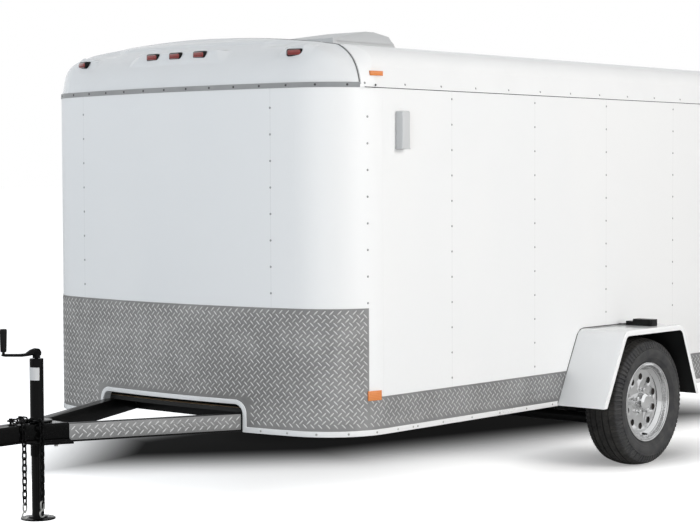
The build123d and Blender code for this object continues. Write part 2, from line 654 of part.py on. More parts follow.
with BuildPart() as safety_chains:
    for row in CHAIN_ROWS:
        row_y, flat_count = row
        edge_x = chain_side(row_y) + CHAIN_EDGE_SHIFT
        pair_pitch = FLAT_PITCH + 2 * UPRIGHT_HALF
        bend = BEND_HALF / sqrt(2)
        plumb_x = edge_x + 2 * bend
        plumb_z = CHAIN_LINE_Z - 2 * bend
        for index in range(flat_count):
            flat_x = edge_x - FLAT_PITCH / 2 - index * pair_pitch
            add(chain_piece(link_face(), (flat_x, row_y, CHAIN_LINE_Z), LEVEL, ACROSS))
        for index in range(1, flat_count):
            upright_x = edge_x - index * pair_pitch + UPRIGHT_HALF
            add(chain_piece(link_face(), (upright_x, row_y, CHAIN_LINE_Z), LEVEL, UP))
        add(chain_piece(link_face(), (edge_x + bend, row_y, CHAIN_LINE_Z - bend), SLANT, SLANT_UP))
        for index in range(CHAIN_DROP_PAIRS):
            flat_z = plumb_z - FLAT_PITCH / 2 - index * pair_pitch
            upright_z = flat_z - FLAT_PITCH / 2 - UPRIGHT_HALF
            add(chain_piece(link_face(), (plumb_x, row_y, flat_z), DOWN, ACROSS))
            add(chain_piece(link_face(), (plumb_x, row_y, upright_z), DOWN, LEVEL))
        hook_z = plumb_z - CHAIN_DROP_PAIRS * pair_pitch - FLAT_PITCH / 2
        add(chain_piece(hook_face(), (plumb_x, row_y, hook_z), DOWN, ACROSS))
finish_node(safety_chains, "safety_chains")

with BuildPart() as coupler_latch:
    latch_points = [(BALL_Y + back, COUPLER_TOP_Z + SEAT_GAP + rise) for back, rise in LATCH_PROFILE]
    with BuildSketch(Plane.YZ.offset(-LATCH_HALF_WIDTH)):
        with BuildLine():
            Polyline(*latch_points, close=True)
        make_face()
    extrude(amount=2 * LATCH_HALF_WIDTH)
    fillet(coupler_latch.edges().filter_by(Axis.Z), LATCH_EDGE_RADIUS)
finish_node(coupler_latch, "coupler_latch")

# Plate under the rails' tips that braces the jack
GUSSET_TOP_Z = RAIL_LOW_Z - SEAT_GAP
with BuildPart() as jack_gusset:
    with BuildSketch(Plane.XY.offset(GUSSET_TOP_Z - GUSSET_THICKNESS)):
        with BuildLine():
            gusset_rear_y = COUPLER_REAR_Y + GUSSET_REACH
            gusset_rear_x = (gusset_rear_y - TONGUE_APEX_Y) * TONGUE_SLOPE
            gusset_front_y = COUPLER_REAR_Y - RAIL_TIP_LENGTH
            gusset_front_x = (gusset_front_y - TONGUE_APEX_Y) * TONGUE_SLOPE
            Polyline(
                (gusset_rear_x, gusset_rear_y),
                (gusset_front_x, gusset_front_y),
                (-gusset_front_x, gusset_front_y),
                (-gusset_rear_x, gusset_rear_y),
                close=True,
            )
        make_face()
        with Locations((0, JACK_Y)):
            Circle(JACK_TUBE_RADIUS + SEAT_GAP, mode=Mode.SUBTRACT)
    extrude(amount=GUSSET_THICKNESS)
finish_node(jack_gusset, "jack_gusset")

# ---------------------------------------------------------------- tongue jack
JACK_PLANE = Plane.XY.move(Location((0, JACK_Y, 0)))
with BuildPart() as jack_tube:
    with BuildSketch(JACK_PLANE.offset(JACK_TUBE_LOW_Z)):
        Circle(JACK_TUBE_RADIUS)
    extrude(amount=JACK_TUBE_TOP_Z - JACK_TUBE_LOW_Z)
    with BuildSketch(JACK_PLANE.offset(COUPLER_TOP_Z + SEAT_GAP)):
        Circle(JACK_FLANGE_RADIUS)
        with Locations((0, JACK_FLANGE_RADIUS - JACK_TUBE_RADIUS - JACK_FLANGE_LIP)):
            Rectangle(2 * JACK_FLANGE_RADIUS, 2 * JACK_FLANGE_RADIUS, mode=Mode.INTERSECT)
    extrude(amount=JACK_FLANGE_THICKNESS)
    with BuildSketch(JACK_PLANE.offset(JACK_TUBE_LOW_Z)):
        Circle(JACK_TUBE_RADIUS - JACK_WALL)
    extrude(amount=JACK_TUBE_TOP_Z - JACK_TUBE_LOW_Z - JACK_HEAD_THICKNESS, mode=Mode.SUBTRACT)
    with BuildSketch(JACK_PLANE.offset(JACK_TUBE_TOP_Z)):
        Circle(CRANK_SHAFT_RADIUS + SEAT_GAP)
    extrude(amount=-JACK_HEAD_THICKNESS, mode=Mode.SUBTRACT)
finish_node(jack_tube, "jack_tube")

JACK_LEG_RADIUS = JACK_TUBE_RADIUS - JACK_WALL - LEG_PLAY
with BuildPart() as jack_leg:
    with BuildSketch(JACK_PLANE):
        Circle(JACK_FOOT_RADIUS)
    extrude(amount=JACK_FOOT_THICKNESS)
    with BuildSketch(JACK_PLANE.offset(JACK_FOOT_THICKNESS)):
        Circle(JACK_LEG_RADIUS + FOOT_COLLAR)
    extrude(amount=JACK_FOOT_THICKNESS)
    with BuildSketch(JACK_PLANE.offset(JACK_FOOT_THICKNESS)):
        Circle(JACK_LEG_RADIUS)
    extrude(amount=JACK_LEG_TOP_Z - JACK_FOOT_THICKNESS)
    with BuildSketch(JACK_PLANE.offset(2 * JACK_FOOT_THICKNESS)):
        Circle(JACK_LEG_RADIUS - JACK_WALL)
    extrude(amount=JACK_LEG_TOP_Z, mode=Mode.SUBTRACT)
finish_node(jack_leg, "jack_leg")

with BuildPart() as jack_crank:
    crank_route = (
        (0, JACK_Y, JACK_TUBE_TOP_Z - JACK_HEAD_THICKNESS),
        (0, JACK_Y, CRANK_ARM_Z),
        (0, JACK_Y - CRANK_REACH, CRANK_ARM_Z),
        (0, JACK_Y - CRANK_REACH, CRANK_GRIP_TOP_Z),
    )
    with BuildLine():
        FilletPolyline(*crank_route, radius=CRANK_BEND)
    with BuildSketch(Plane.XY.offset(crank_route[0][2])):
        with Locations((0, JACK_Y)):
            Circle(CRANK_SHAFT_RADIUS)
    sweep()
    with BuildSketch(Plane.XY.offset(CRANK_GRIP_TOP_Z - CRANK_GRIP_LENGTH)):
        with Locations((0, JACK_Y - CRANK_REACH)):
            Circle(CRANK_GRIP_RADIUS)
    extrude(amount=CRANK_GRIP_LENGTH)
finish_node(jack_crank, "jack_crank")

# ---------------------------------------------------------------- running gear
BEAM_RISER_X = SPRING_X + SPRING_WIDTH / 2 + RISER_OFFSET
SPINDLE_START_X = BEAM_RISER_X + RISER_RUN
BACKING_X = FLANGE_X - DISC_INSET - DRUM_WIDTH - 2 * TRACK_GAP
with BuildPart() as axle:
    with BuildLine():
        FilletPolyline(
            (-BACKING_X, 0, AXLE_Z),
            (-SPINDLE_START_X, 0, AXLE_Z),
            (-BEAM_RISER_X, 0, BEAM_Z),
            (BEAM_RISER_X, 0, BEAM_Z),
            (SPINDLE_START_X, 0, AXLE_Z),
            (BACKING_X, 0, AXLE_Z),
            radius=AXLE_BEND,
        )
    with BuildSketch(Plane.YZ.offset(-BACKING_X)):
        with Locations((0, AXLE_Z)):
            Circle(AXLE_TUBE_RADIUS)
    sweep()
    for sign in (1, -1):
        with BuildSketch(Plane.YZ.offset(sign * BACKING_X)):
            with Locations((0, AXLE_Z)):
                Circle(SPINDLE_RADIUS)
        extrude(amount=sign * (FLANGE_X - DISC_INSET - BACKING_X))
        with BuildSketch(Plane.YZ.offset(sign * BACKING_X)):
            with Locations((0, AXLE_Z)):
                Circle(DRUM_RADIUS + BACKING_LAP)
        extrude(amount=-sign * BACKING_THICKNESS)
        with BuildSketch(Plane.XY.offset(BEAM_Z)):
            with Locations((sign * SPRING_X, 0)):
                Rectangle(SPRING_WIDTH, SPRING_SEAT_LENGTH)
        extrude(amount=AXLE_TUBE_RADIUS + SPRING_SEAT_RISE)
finish_node(axle, "axle")

SEAT_Z = BEAM_Z + AXLE_TUBE_RADIUS + SPRING_SEAT_RISE + SEAT_GAP
with BuildPart() as springs:
    for sign in (1, -1):
        for index, share in enumerate(SPRING_LEAF_SHARES):
            half_span = SPRING_SPAN / 2 * share
            low = SEAT_Z + index * SPRING_LEAF
            rise = (EYE_Z - SEAT_Z - 2 * SPRING_LEAF) * share**2
            with BuildSketch(Plane.YZ.offset(sign * SPRING_X - SPRING_WIDTH / 2)):
                with BuildLine():
                    upper_mid = (0, low + SPRING_LEAF)
                    ThreePointArc((-half_span, low + rise), (0, low), (half_span, low + rise))
                    Line((half_span, low + rise), (half_span, low + rise + SPRING_LEAF))
                    ThreePointArc(
                        (half_span, low + rise + SPRING_LEAF),
                        upper_mid,
                        (-half_span, low + rise + SPRING_LEAF),
                    )
                    Line((-half_span, low + rise + SPRING_LEAF), (-half_span, low + rise))
                make_face()
            extrude(amount=SPRING_WIDTH)
        with BuildSketch(Plane.YZ.offset(sign * SPRING_X - SPRING_WIDTH / 2)):
            with Locations((-SPRING_SPAN / 2, EYE_Z), (SPRING_SPAN / 2, EYE_Z)):
                Circle(EYE_RADIUS)
        extrude(amount=SPRING_WIDTH)
        with BuildSketch(Plane.YZ.offset(sign * SPRING_X - SPRING_WIDTH / 2)):
            with Locations((-SPRING_SPAN / 2, EYE_Z), (SPRING_SPAN / 2, EYE_Z)):
                Circle(EYE_PIN_RADIUS + SEAT_GAP)
        extrude(amount=SPRING_WIDTH, mode=Mode.SUBTRACT)
finish_node(springs, "leaf_springs")

WHEEL_AXIS = Axis((0, 0, AXLE_Z), (1, 0, 0))
WHEEL_PLANE = Plane(origin=(0, 0, AXLE_Z), x_dir=(1, 0, 0), z_dir=(0, -1, 0))
DISC_X = FLANGE_X - DISC_INSET
TYRE_IN_X = WHEEL_CENTRE_X - TYRE_WIDTH / 2
TYRE_OUT_X = WHEEL_CENTRE_X + TYRE_WIDTH / 2
BEAD_IN_X = WHEEL_CENTRE_X - RIM_WIDTH / 2 + RIM_SHEET + SEAT_GAP
BEAD_OUT_X = WHEEL_CENTRE_X + RIM_WIDTH / 2 - RIM_SHEET - SEAT_GAP
with BuildPart() as tyre:
    with BuildSketch(WHEEL_PLANE):
        with BuildLine():
            lip_r = RIM_FLANGE_RADIUS + SEAT_GAP
            side_mid = (lip_r + WHEEL_RADIUS) / 2
            Polyline(
                (BEAD_IN_X, lip_r),
                (BEAD_IN_X, BEAD_RADIUS),
                (BEAD_OUT_X, BEAD_RADIUS),
                (BEAD_OUT_X, lip_r),
            )
            ThreePointArc(
                (BEAD_OUT_X, lip_r),
                (TYRE_OUT_X, side_mid),
                (TYRE_OUT_X - SHOULDER_IN, WHEEL_RADIUS - SHOULDER_DROP),
            )
            ThreePointArc(
                (TYRE_OUT_X - SHOULDER_IN, WHEEL_RADIUS - SHOULDER_DROP),
                (WHEEL_CENTRE_X, WHEEL_RADIUS),
                (TYRE_IN_X + SHOULDER_IN, WHEEL_RADIUS - SHOULDER_DROP),
            )
            ThreePointArc(
                (TYRE_IN_X + SHOULDER_IN, WHEEL_RADIUS - SHOULDER_DROP),
                (TYRE_IN_X, side_mid),
                (BEAD_IN_X, lip_r),
            )
        make_face()
    revolve(axis=WHEEL_AXIS)

with BuildPart() as rim:
    with BuildSketch(WHEEL_PLANE):
        with BuildLine():
            inner_x = WHEEL_CENTRE_X - RIM_WIDTH / 2
            seat_r = BEAD_RADIUS - SEAT_GAP
            Polyline(
                (inner_x, RIM_FLANGE_RADIUS),
                (inner_x, seat_r - RIM_SHEET),
                (DISC_X - DISC_SHEET, seat_r - RIM_SHEET),
                (DISC_X - DISC_SHEET, HUB_BORE_RADIUS),
                (DISC_X, HUB_BORE_RADIUS),
                (DISC_X, seat_r - RIM_SHEET - DISC_STEP),
                (DISC_X + DISC_STEP, seat_r - RIM_SHEET),
                (FLANGE_X, seat_r),
                (FLANGE_X, RIM_FLANGE_RADIUS),
                (FLANGE_X - RIM_SHEET, RIM_FLANGE_RADIUS),
                (FLANGE_X - RIM_SHEET, seat_r),
                (inner_x + RIM_SHEET, seat_r),
                (inner_x + RIM_SHEET, RIM_FLANGE_RADIUS),
                close=True,
            )
        make_face()
    revolve(axis=WHEEL_AXIS)
    with BuildSketch(Plane.YZ.offset(DISC_X - 2 * DISC_SHEET)):
        with Locations((0, AXLE_Z)):
            with PolarLocations(VENT_HOLE_CIRCLE, VENT_HOLE_COUNT, start_angle=VENT_HOLE_TURN):
                Circle(VENT_HOLE_RADIUS)
            with PolarLocations(STUD_CIRCLE, STUD_COUNT, start_angle=90.0):
                Circle(STUD_RADIUS + SEAT_GAP)
    extrude(amount=3 * DISC_SHEET, mode=Mode.SUBTRACT)

with BuildPart() as drum:
    with BuildSketch(WHEEL_PLANE):
        with BuildLine():
            drum_x = DISC_X - DISC_SHEET - SEAT_GAP
            Polyline(
                (drum_x, DRUM_RADIUS),
                (drum_x - DRUM_WIDTH, DRUM_RADIUS),
                (drum_x - DRUM_WIDTH, DRUM_RADIUS - DRUM_WALL),
                (drum_x - DRUM_WALL, DRUM_RADIUS - DRUM_WALL),
                (drum_x - DRUM_WALL, HUB_RADIUS),
                (drum_x - DRUM_WIDTH, HUB_RADIUS),
                (drum_x - DRUM_WIDTH, SPINDLE_RADIUS + SEAT_GAP),
                (DISC_X + SEAT_GAP, SPINDLE_RADIUS + SEAT_GAP),
                (DISC_X + SEAT_GAP, 0),
                (DISC_X + CAP_REACH, 0),
                (DISC_X + CAP_REACH, HUB_BORE_RADIUS - CAP_TAPER_DROP),
                (DISC_X + CAP_REACH - CAP_TAPER_RUN, HUB_BORE_RADIUS - SEAT_GAP),
                (drum_x, HUB_BORE_RADIUS - SEAT_GAP),
                close=True,
            )
        make_face()
    revolve(axis=WHEEL_AXIS)
    with BuildSketch(Plane.YZ.offset(drum_x)):
        with Locations((0, AXLE_Z)):
            with PolarLocations(STUD_CIRCLE, STUD_COUNT, start_angle=90.0):
                Circle(STUD_RADIUS)
    extrude(amount=DISC_SHEET + SEAT_GAP + NUT_HEIGHT)
    with BuildSketch(Plane.YZ.offset(DISC_X + SEAT_GAP)):
        with Locations((0, AXLE_Z)):
            with PolarLocations(STUD_CIRCLE, STUD_COUNT, start_angle=90.0):
                RegularPolygon(NUT_RADIUS, 6)
    extrude(amount=NUT_HEIGHT)

for side, sign in SIDES:
    for node, source in (("tyre", tyre), ("rim", rim), ("drum_hub", drum)):
        with BuildPart() as piece:
            add(handed(source.part, sign))
        finish_node(piece, f"{node}_{side}")

# ---------------------------------------------------------------- floor and walls
with BuildPart() as floor:
    with BuildSketch(Plane.XY.offset(FLOOR_LOW_Z)):
        add(body_plan(WALL + SEAT_GAP, REAR_FRAME_Y - SEAT_GAP))
    extrude(amount=FLOOR_THICKNESS)
finish_node(floor, "floor")

WALL_HEIGHT = WALL_TOP_Z - SKIRT_Z
with BuildPart() as front_wall:
    add(plan_band(0, -WALL, SKIRT_Z, WALL_TOP_Z, FRONT_REACH_Y, SIDE_START_Y - SEAT_GAP))
    with BuildSketch(Plane.XZ.offset(-SIDE_START_Y)):
        add(cutout_face())
    extrude(amount=FRONT_DEPTH, mode=Mode.SUBTRACT)
    with BuildSketch(Plane.XY.offset(RAIL_LOW_Z - SEAT_GAP)):
        add(rail_plan(SEAT_GAP))
    extrude(amount=RAIL_HEIGHT + 2 * SEAT_GAP, mode=Mode.SUBTRACT)
finish_node(front_wall, "front_wall")


def side_doorway():
    """Block as large as the clear opening of the side door, through wall and cladding."""
    with BuildPart() as doorway:
        with BuildSketch(Plane.YZ.offset(-BODY_HALF_WIDTH - DOOR_GAP)):
            door_mid_z = (SILL_TOP_Z + SIDE_DOOR_TOP_Z + DOOR_GAP) / 2
            with Locations((SIDE_DOOR_FRONT_Y + SIDE_DOOR_WIDTH / 2, door_mid_z)):
                Rectangle(SIDE_DOOR_WIDTH + 2 * DOOR_GAP, SIDE_DOOR_TOP_Z + DOOR_GAP - SILL_TOP_Z)
        extrude(amount=WALL + 2 * DOOR_GAP)
    return doorway.part


for side, sign in SIDES:
    with BuildPart() as side_wall:
        wall_mid_y = (SIDE_START_Y + REAR_FRAME_Y - SEAT_GAP) / 2
        with BuildSketch(Plane.XY.offset(SKIRT_Z)):
            with Locations((sign * (BODY_HALF_WIDTH - WALL / 2), wall_mid_y)):
                Rectangle(WALL, REAR_FRAME_Y - SEAT_GAP - SIDE_START_Y)
        extrude(amount=WALL_HEIGHT)
        if side == "right":
            add(side_doorway(), mode=Mode.SUBTRACT)
    finish_node(side_wall, f"{side}_wall")

# ---------------------------------------------------------------- roof, front cap and rear frame
VENT_MID_Y = VENT_REAR_Y - VENT_LENGTH / 2
with BuildPart() as shell:
    add(canopy_form())
    add(canopy_form(ROOF_WALL, ROOF_LOW_Z - ROOF_CUT_RUN), mode=Mode.SUBTRACT)
canopy_shell = shell.part
with BuildPart() as roof:
    add(canopy_shell)
    with BuildSketch(Plane.XZ.offset(-REAR_FRAME_Y + SEAT_GAP)):
        Rectangle(4 * BODY_HALF_WIDTH, 2 * CROWN_Z + ROOF_WALL)
    extrude(amount=REAR_FRAME_Y - SEAT_GAP - CAP_SEAM_Y - SEAT_GAP / 2, mode=Mode.INTERSECT)
    with BuildSketch(Plane.XY.offset(SHOULDER_Z)):
        with Locations((0, VENT_MID_Y)):
            Rectangle(VENT_HOLE, VENT_HOLE)
    extrude(amount=2 * ROOF_WALL + CROWN_Z - SHOULDER_Z, mode=Mode.SUBTRACT)
finish_node(roof, "roof")

with BuildPart() as nose_cap:
    add(canopy_shell)
    with BuildSketch(Plane.XZ.offset(-CAP_SEAM_Y + SEAT_GAP / 2)):
        Rectangle(4 * BODY_HALF_WIDTH, 2 * CROWN_Z + ROOF_WALL)
    extrude(amount=CAP_SEAM_Y - BOW_Y + BODY_HALF_WIDTH, mode=Mode.INTERSECT)
finish_node(nose_cap, "nose_cap")

OPENING_HALF = REAR_HINGE_X + HINGE_EDGE
OPENING_LOW_Z = SILL_TOP_Z
OPENING_TOP_Z = REAR_LEAF_TOP_Z + DOOR_GAP
with BuildPart() as rear_frame:
    with BuildSketch(Plane.XZ.offset(-REAR_Y)):
        add(roof_section())
        with Locations((0, (SKIRT_Z + ROOF_LOW_Z) / 2)):
            Rectangle(2 * BODY_HALF_WIDTH, ROOF_LOW_Z - SKIRT_Z)
        with Locations((0, (OPENING_LOW_Z + OPENING_TOP_Z) / 2)):
            Rectangle(2 * OPENING_HALF, OPENING_TOP_Z - OPENING_LOW_Z, mode=Mode.SUBTRACT)
    extrude(amount=REAR_FRAME_DEPTH)
finish_node(rear_frame, "rear_frame")

# ---------------------------------------------------------------- fenders
def fender_face(inset=0.0):
    """Side-view trapezoid of a fender with its legs run on to the ground, moved in by inset."""
    front_lean = (FENDER_TOP_FRONT_Y - FENDER_FRONT_Y) / (FENDER_TOP_Z - FENDER_BOTTOM_Z)
    rear_lean = (FENDER_REAR_Y - FENDER_TOP_REAR_Y) / (FENDER_TOP_Z - FENDER_BOTTOM_Z)
    with BuildSketch() as face:
        with BuildLine():
            Polyline(
                (FENDER_FRONT_Y - front_lean * FENDER_BOTTOM_Z, 0),
                (FENDER_TOP_FRONT_Y, FENDER_TOP_Z),
                (FENDER_TOP_REAR_Y, FENDER_TOP_Z),
                (FENDER_REAR_Y + rear_lean * FENDER_BOTTOM_Z, 0),
                close=True,
            )
        make_face()
        fillet(face.vertices().group_by(Axis.Y)[-1], FENDER_CORNER_RADIUS)
        if inset:
            offset(amount=-inset, kind=Kind.INTERSECTION)
    return face.sketch


FENDER_IN_X = BODY_HALF_WIDTH + SEAT_GAP
FENDER_OUT_X = FENDER_IN_X + FENDER_REACH
with BuildPart() as fender:
    with BuildSketch(Plane.YZ.offset(FENDER_IN_X)):
        add(fender_face())
        add(fender_face(FENDER_SHEET), mode=Mode.SUBTRACT)
    extrude(amount=FENDER_REACH)
    with BuildSketch(Plane.YZ.offset(FENDER_OUT_X)):
        add(fender_face())
        add(fender_face(FENDER_LIP), mode=Mode.SUBTRACT)
    extrude(amount=-FENDER_SHEET)
    with BuildSketch(Plane.YZ.offset(FENDER_IN_X)):
        with Locations(((FENDER_FRONT_Y + FENDER_REAR_Y) / 2, 0)):
            Rectangle(3 * (FENDER_REAR_Y - FENDER_FRONT_Y), 2 * FENDER_BOTTOM_Z)
    extrude(amount=FENDER_REACH, mode=Mode.SUBTRACT)
for side, sign in SIDES:
    with BuildPart() as piece:
        add(handed(fender.part, sign))
    finish_node(piece, f"fender_{side}")

# Low two-step lamp housing on each fender
with BuildPart() as fender_lamps:
    for sign in (1, -1):
        for length, height in FENDER_LAMP_STEPS:
            with BuildSketch(Plane.XY.offset(FENDER_TOP_Z + SEAT_GAP)):
                with Locations((sign * (FENDER_OUT_X - FENDER_LAMP_INSET - length / 2), FENDER_LAMP_Y)):
                    RectangleRounded(length, FENDER_LAMP_WIDTH, FENDER_LAMP_WIDTH / 8)
            extrude(amount=height)
finish_node(fender_lamps, "fender_lamps")

# ---------------------------------------------------------------- cladding and trims
TRIM_TOP_Z = SKIRT_Z + BOTTOM_TRIM_HEIGHT
CLAD_OUT = SEAT_GAP + CLADDING
CLAD_LOW_Z = TRIM_TOP_Z + SEAT_GAP
FENDER_GAPS = (FENDER_FRONT_Y - SEAT_GAP, FENDER_REAR_Y + SEAT_GAP)
BAND_REAR_Y = REAR_FRAME_Y - SEAT_GAP
with BuildPart() as stone_guard:
    add(plan_band(CLAD_OUT, SEAT_GAP, CLAD_LOW_Z, STONE_GUARD_TOP_Z, FRONT_REACH_Y, STONE_GUARD_REAR_Y))
    with BuildSketch(Plane.XZ.offset(-SIDE_START_Y)):
        add(cutout_face(CUTOUT_TRIM_WIDTH + SEAT_GAP))
    extrude(amount=FRONT_DEPTH, mode=Mode.SUBTRACT)
finish_node(stone_guard, "stone_guard")

with BuildPart() as side_bands:
    for front_y, rear_y in ((STONE_GUARD_REAR_Y + SEAT_GAP, FENDER_GAPS[0]), (FENDER_GAPS[1], BAND_REAR_Y)):
        add(plan_band(CLAD_OUT, SEAT_GAP, CLAD_LOW_Z, SIDE_BAND_TOP_Z, front_y, rear_y))
    add(side_doorway(), mode=Mode.SUBTRACT)
finish_node(side_bands, "side_bands")

# Lower edge trim all round, and the upright trim round the tongue's opening
with BuildPart() as bottom_trim:
    with BuildSketch(Plane.XZ.offset(-SIDE_START_Y)):
        add(cutout_face(CUTOUT_TRIM_WIDTH))
    extrude(amount=FRONT_DEPTH)
    add(
        plan_band(BOTTOM_TRIM_PROUD, SEAT_GAP, TRIM_TOP_Z, STONE_GUARD_TOP_Z, FRONT_REACH_Y, SIDE_START_Y),
        mode=Mode.INTERSECT,
    )
    for front_y, rear_y in ((FRONT_REACH_Y, FENDER_GAPS[0]), (FENDER_GAPS[1], BAND_REAR_Y)):
        add(plan_band(BOTTOM_TRIM_PROUD, SEAT_GAP, SKIRT_Z, TRIM_TOP_Z, front_y, rear_y))
    with BuildSketch(Plane.XZ.offset(-SIDE_START_Y)):
        add(cutout_face())
    extrude(amount=FRONT_DEPTH, mode=Mode.SUBTRACT)
finish_node(bottom_trim, "bottom_trim")

with BuildPart() as front_trim:
    front_trim_z = WALL_TOP_Z - FRONT_TRIM_LAP
    trim_top_z = front_trim_z + FRONT_TRIM_HEIGHT
    add(plan_band(CLAD_OUT, SEAT_GAP, front_trim_z, trim_top_z, FRONT_REACH_Y, CAP_SEAM_Y))
finish_node(front_trim, "front_trim")

# ---------------------------------------------------------------- doors
LEAF_OUTER_X = REAR_HINGE_X - HINGE_EDGE
LEAF_LOW_Z = SILL_TOP_Z + DOOR_GAP
HINGE_BARREL_HALF = HINGE_HEIGHT / 4 - SEAT_GAP
REAR_AXIS_Y = REAR_Y + HINGE_STANDOFF
SIDE_AXIS_X = -BODY_HALF_WIDTH - HINGE_STANDOFF
SIDE_AXIS_Y = SIDE_DOOR_FRONT_Y - HINGE_EDGE
SIDE_LEAF_REAR_Y = SIDE_DOOR_FRONT_Y + SIDE_DOOR_WIDTH


def hinge_planes(leaf):
    """Planes square to a leaf's hinge axis, one per hinge: X towards the leaf, Y outwards."""
    if leaf == "side":
        low_z, high_z = LEAF_LOW_Z, SIDE_DOOR_TOP_Z
    else:
        low_z, high_z = LEAF_LOW_Z, REAR_LEAF_TOP_Z
    for share in HINGE_SHARES:
        z = low_z + (high_z - low_z) * share
        if leaf == "side":
            yield Plane(origin=(SIDE_AXIS_X, SIDE_AXIS_Y, z), x_dir=(0, 1, 0), z_dir=(0, 0, 1))
        else:
            yield Plane(origin=(REAR_HINGE_X, REAR_AXIS_Y, z), x_dir=(-1, 0, 0), z_dir=(0, 0, -1))


def strap_half(plane):
    """Moving half of a strap hinge: barrel and strap."""
    strap_y = -HINGE_STANDOFF + SEAT_GAP + STRAP_THICKNESS / 2
    with BuildPart() as half:
        with BuildSketch(plane.offset(-HINGE_BARREL_HALF)):
            Circle(HINGE_BARREL_RADIUS)
            with Locations((STRAP_LENGTH / 2, strap_y)):
                Rectangle(STRAP_LENGTH, STRAP_THICKNESS)
            Circle(HINGE_PIN_RADIUS + HINGE_PIN_PLAY, mode=Mode.SUBTRACT)
        extrude(amount=2 * HINGE_BARREL_HALF)
    return half.part


def post_half(plane):
    """Fixed half of a strap hinge: plate, two lugs and the pin."""
    plate_y = -HINGE_STANDOFF + SEAT_GAP + STRAP_THICKNESS / 2
    with BuildPart() as half:
        with BuildSketch(plane.offset(-HINGE_HEIGHT / 2)):
            Circle(HINGE_BARREL_RADIUS)
            with Locations((-HINGE_PLATE_LENGTH / 2, plate_y)):
                Rectangle(HINGE_PLATE_LENGTH, STRAP_THICKNESS)
        extrude(amount=HINGE_HEIGHT)
        with BuildSketch(plane.offset(-HINGE_BARREL_HALF - SEAT_GAP)):
            Circle(HINGE_STANDOFF + STRAP_THICKNESS)
        extrude(amount=2 * (HINGE_BARREL_HALF + SEAT_GAP), mode=Mode.SUBTRACT)
        with BuildSketch(plane.offset(-HINGE_HEIGHT / 2)):
            Circle(HINGE_PIN_RADIUS)
        extrude(amount=HINGE_HEIGHT)
    return half.part


with BuildPart() as hinge_posts:
    for plane in hinge_planes("rear"):
        for sign in (1, -1):
            add(handed(post_half(plane), sign))
    for plane in hinge_planes("side"):
        add(post_half(plane))
finish_node(hinge_posts, "hinge_posts")

with BuildPart() as rear_leaf:
    with BuildSketch(Plane.XZ.offset(-REAR_Y)):
        with Locations(((LEAF_OUTER_X + DOOR_GAP / 2) / 2, (LEAF_LOW_Z + REAR_LEAF_TOP_Z) / 2)):
            Rectangle(LEAF_OUTER_X - DOOR_GAP / 2, REAR_LEAF_TOP_Z - LEAF_LOW_Z)
    extrude(amount=WALL)

with BuildPart() as rear_hardware:
    for plane in hinge_planes("rear"):
        add(strap_half(plane))
    with BuildSketch(Plane.XY.offset(LEAF_LOW_Z + DOOR_GAP)):
        with Locations((LOCK_BAR_X, REAR_Y + LOCK_BAR_STANDOFF)):
            Circle(LOCK_BAR_RADIUS)
    extrude(amount=REAR_LEAF_TOP_Z - LEAF_LOW_Z - 2 * DOOR_GAP)
    for share in LOCK_GUIDE_SHARES:
        guide_z = LEAF_LOW_Z + (REAR_LEAF_TOP_Z - LEAF_LOW_Z) * share
        with BuildSketch(Plane.XZ.offset(-REAR_Y - SEAT_GAP)):
            with Locations((LOCK_BAR_X, guide_z)):
                RectangleRounded(LOCK_GUIDE_WIDTH, LOCK_GUIDE_HEIGHT, LOCK_GUIDE_CORNER)
        extrude(amount=-LOCK_BAR_STANDOFF)
    with BuildSketch(Plane.XZ.offset(-REAR_Y - LOCK_BAR_STANDOFF + LOCK_BAR_RADIUS / 2)):
        with Locations((LOCK_BAR_X + LOCK_HANDLE_LENGTH / 2, LOCK_HANDLE_Z)):
            RectangleRounded(LOCK_HANDLE_LENGTH, LOCK_HANDLE_HEIGHT, LOCK_HANDLE_CORNER)
    extrude(amount=-LOCK_BAR_RADIUS)
for side, sign in SIDES:
    with BuildPart() as piece:
        add(handed(rear_leaf.part, sign))
    finish_node(piece, f"rear_door_{side}")
    with BuildPart() as piece:
        add(handed(rear_hardware.part, sign))
    finish_node(piece, f"rear_door_hardware_{side}")

with BuildPart() as side_door:
    with BuildSketch(Plane.YZ.offset(-BODY_HALF_WIDTH)):
        with Locations((SIDE_DOOR_FRONT_Y + SIDE_DOOR_WIDTH / 2, (LEAF_LOW_Z + SIDE_DOOR_TOP_Z) / 2)):
            RectangleRounded(SIDE_DOOR_WIDTH, SIDE_DOOR_TOP_Z - LEAF_LOW_Z, SIDE_DOOR_CORNER)
    extrude(amount=WALL)
finish_node(side_door, "side_door")

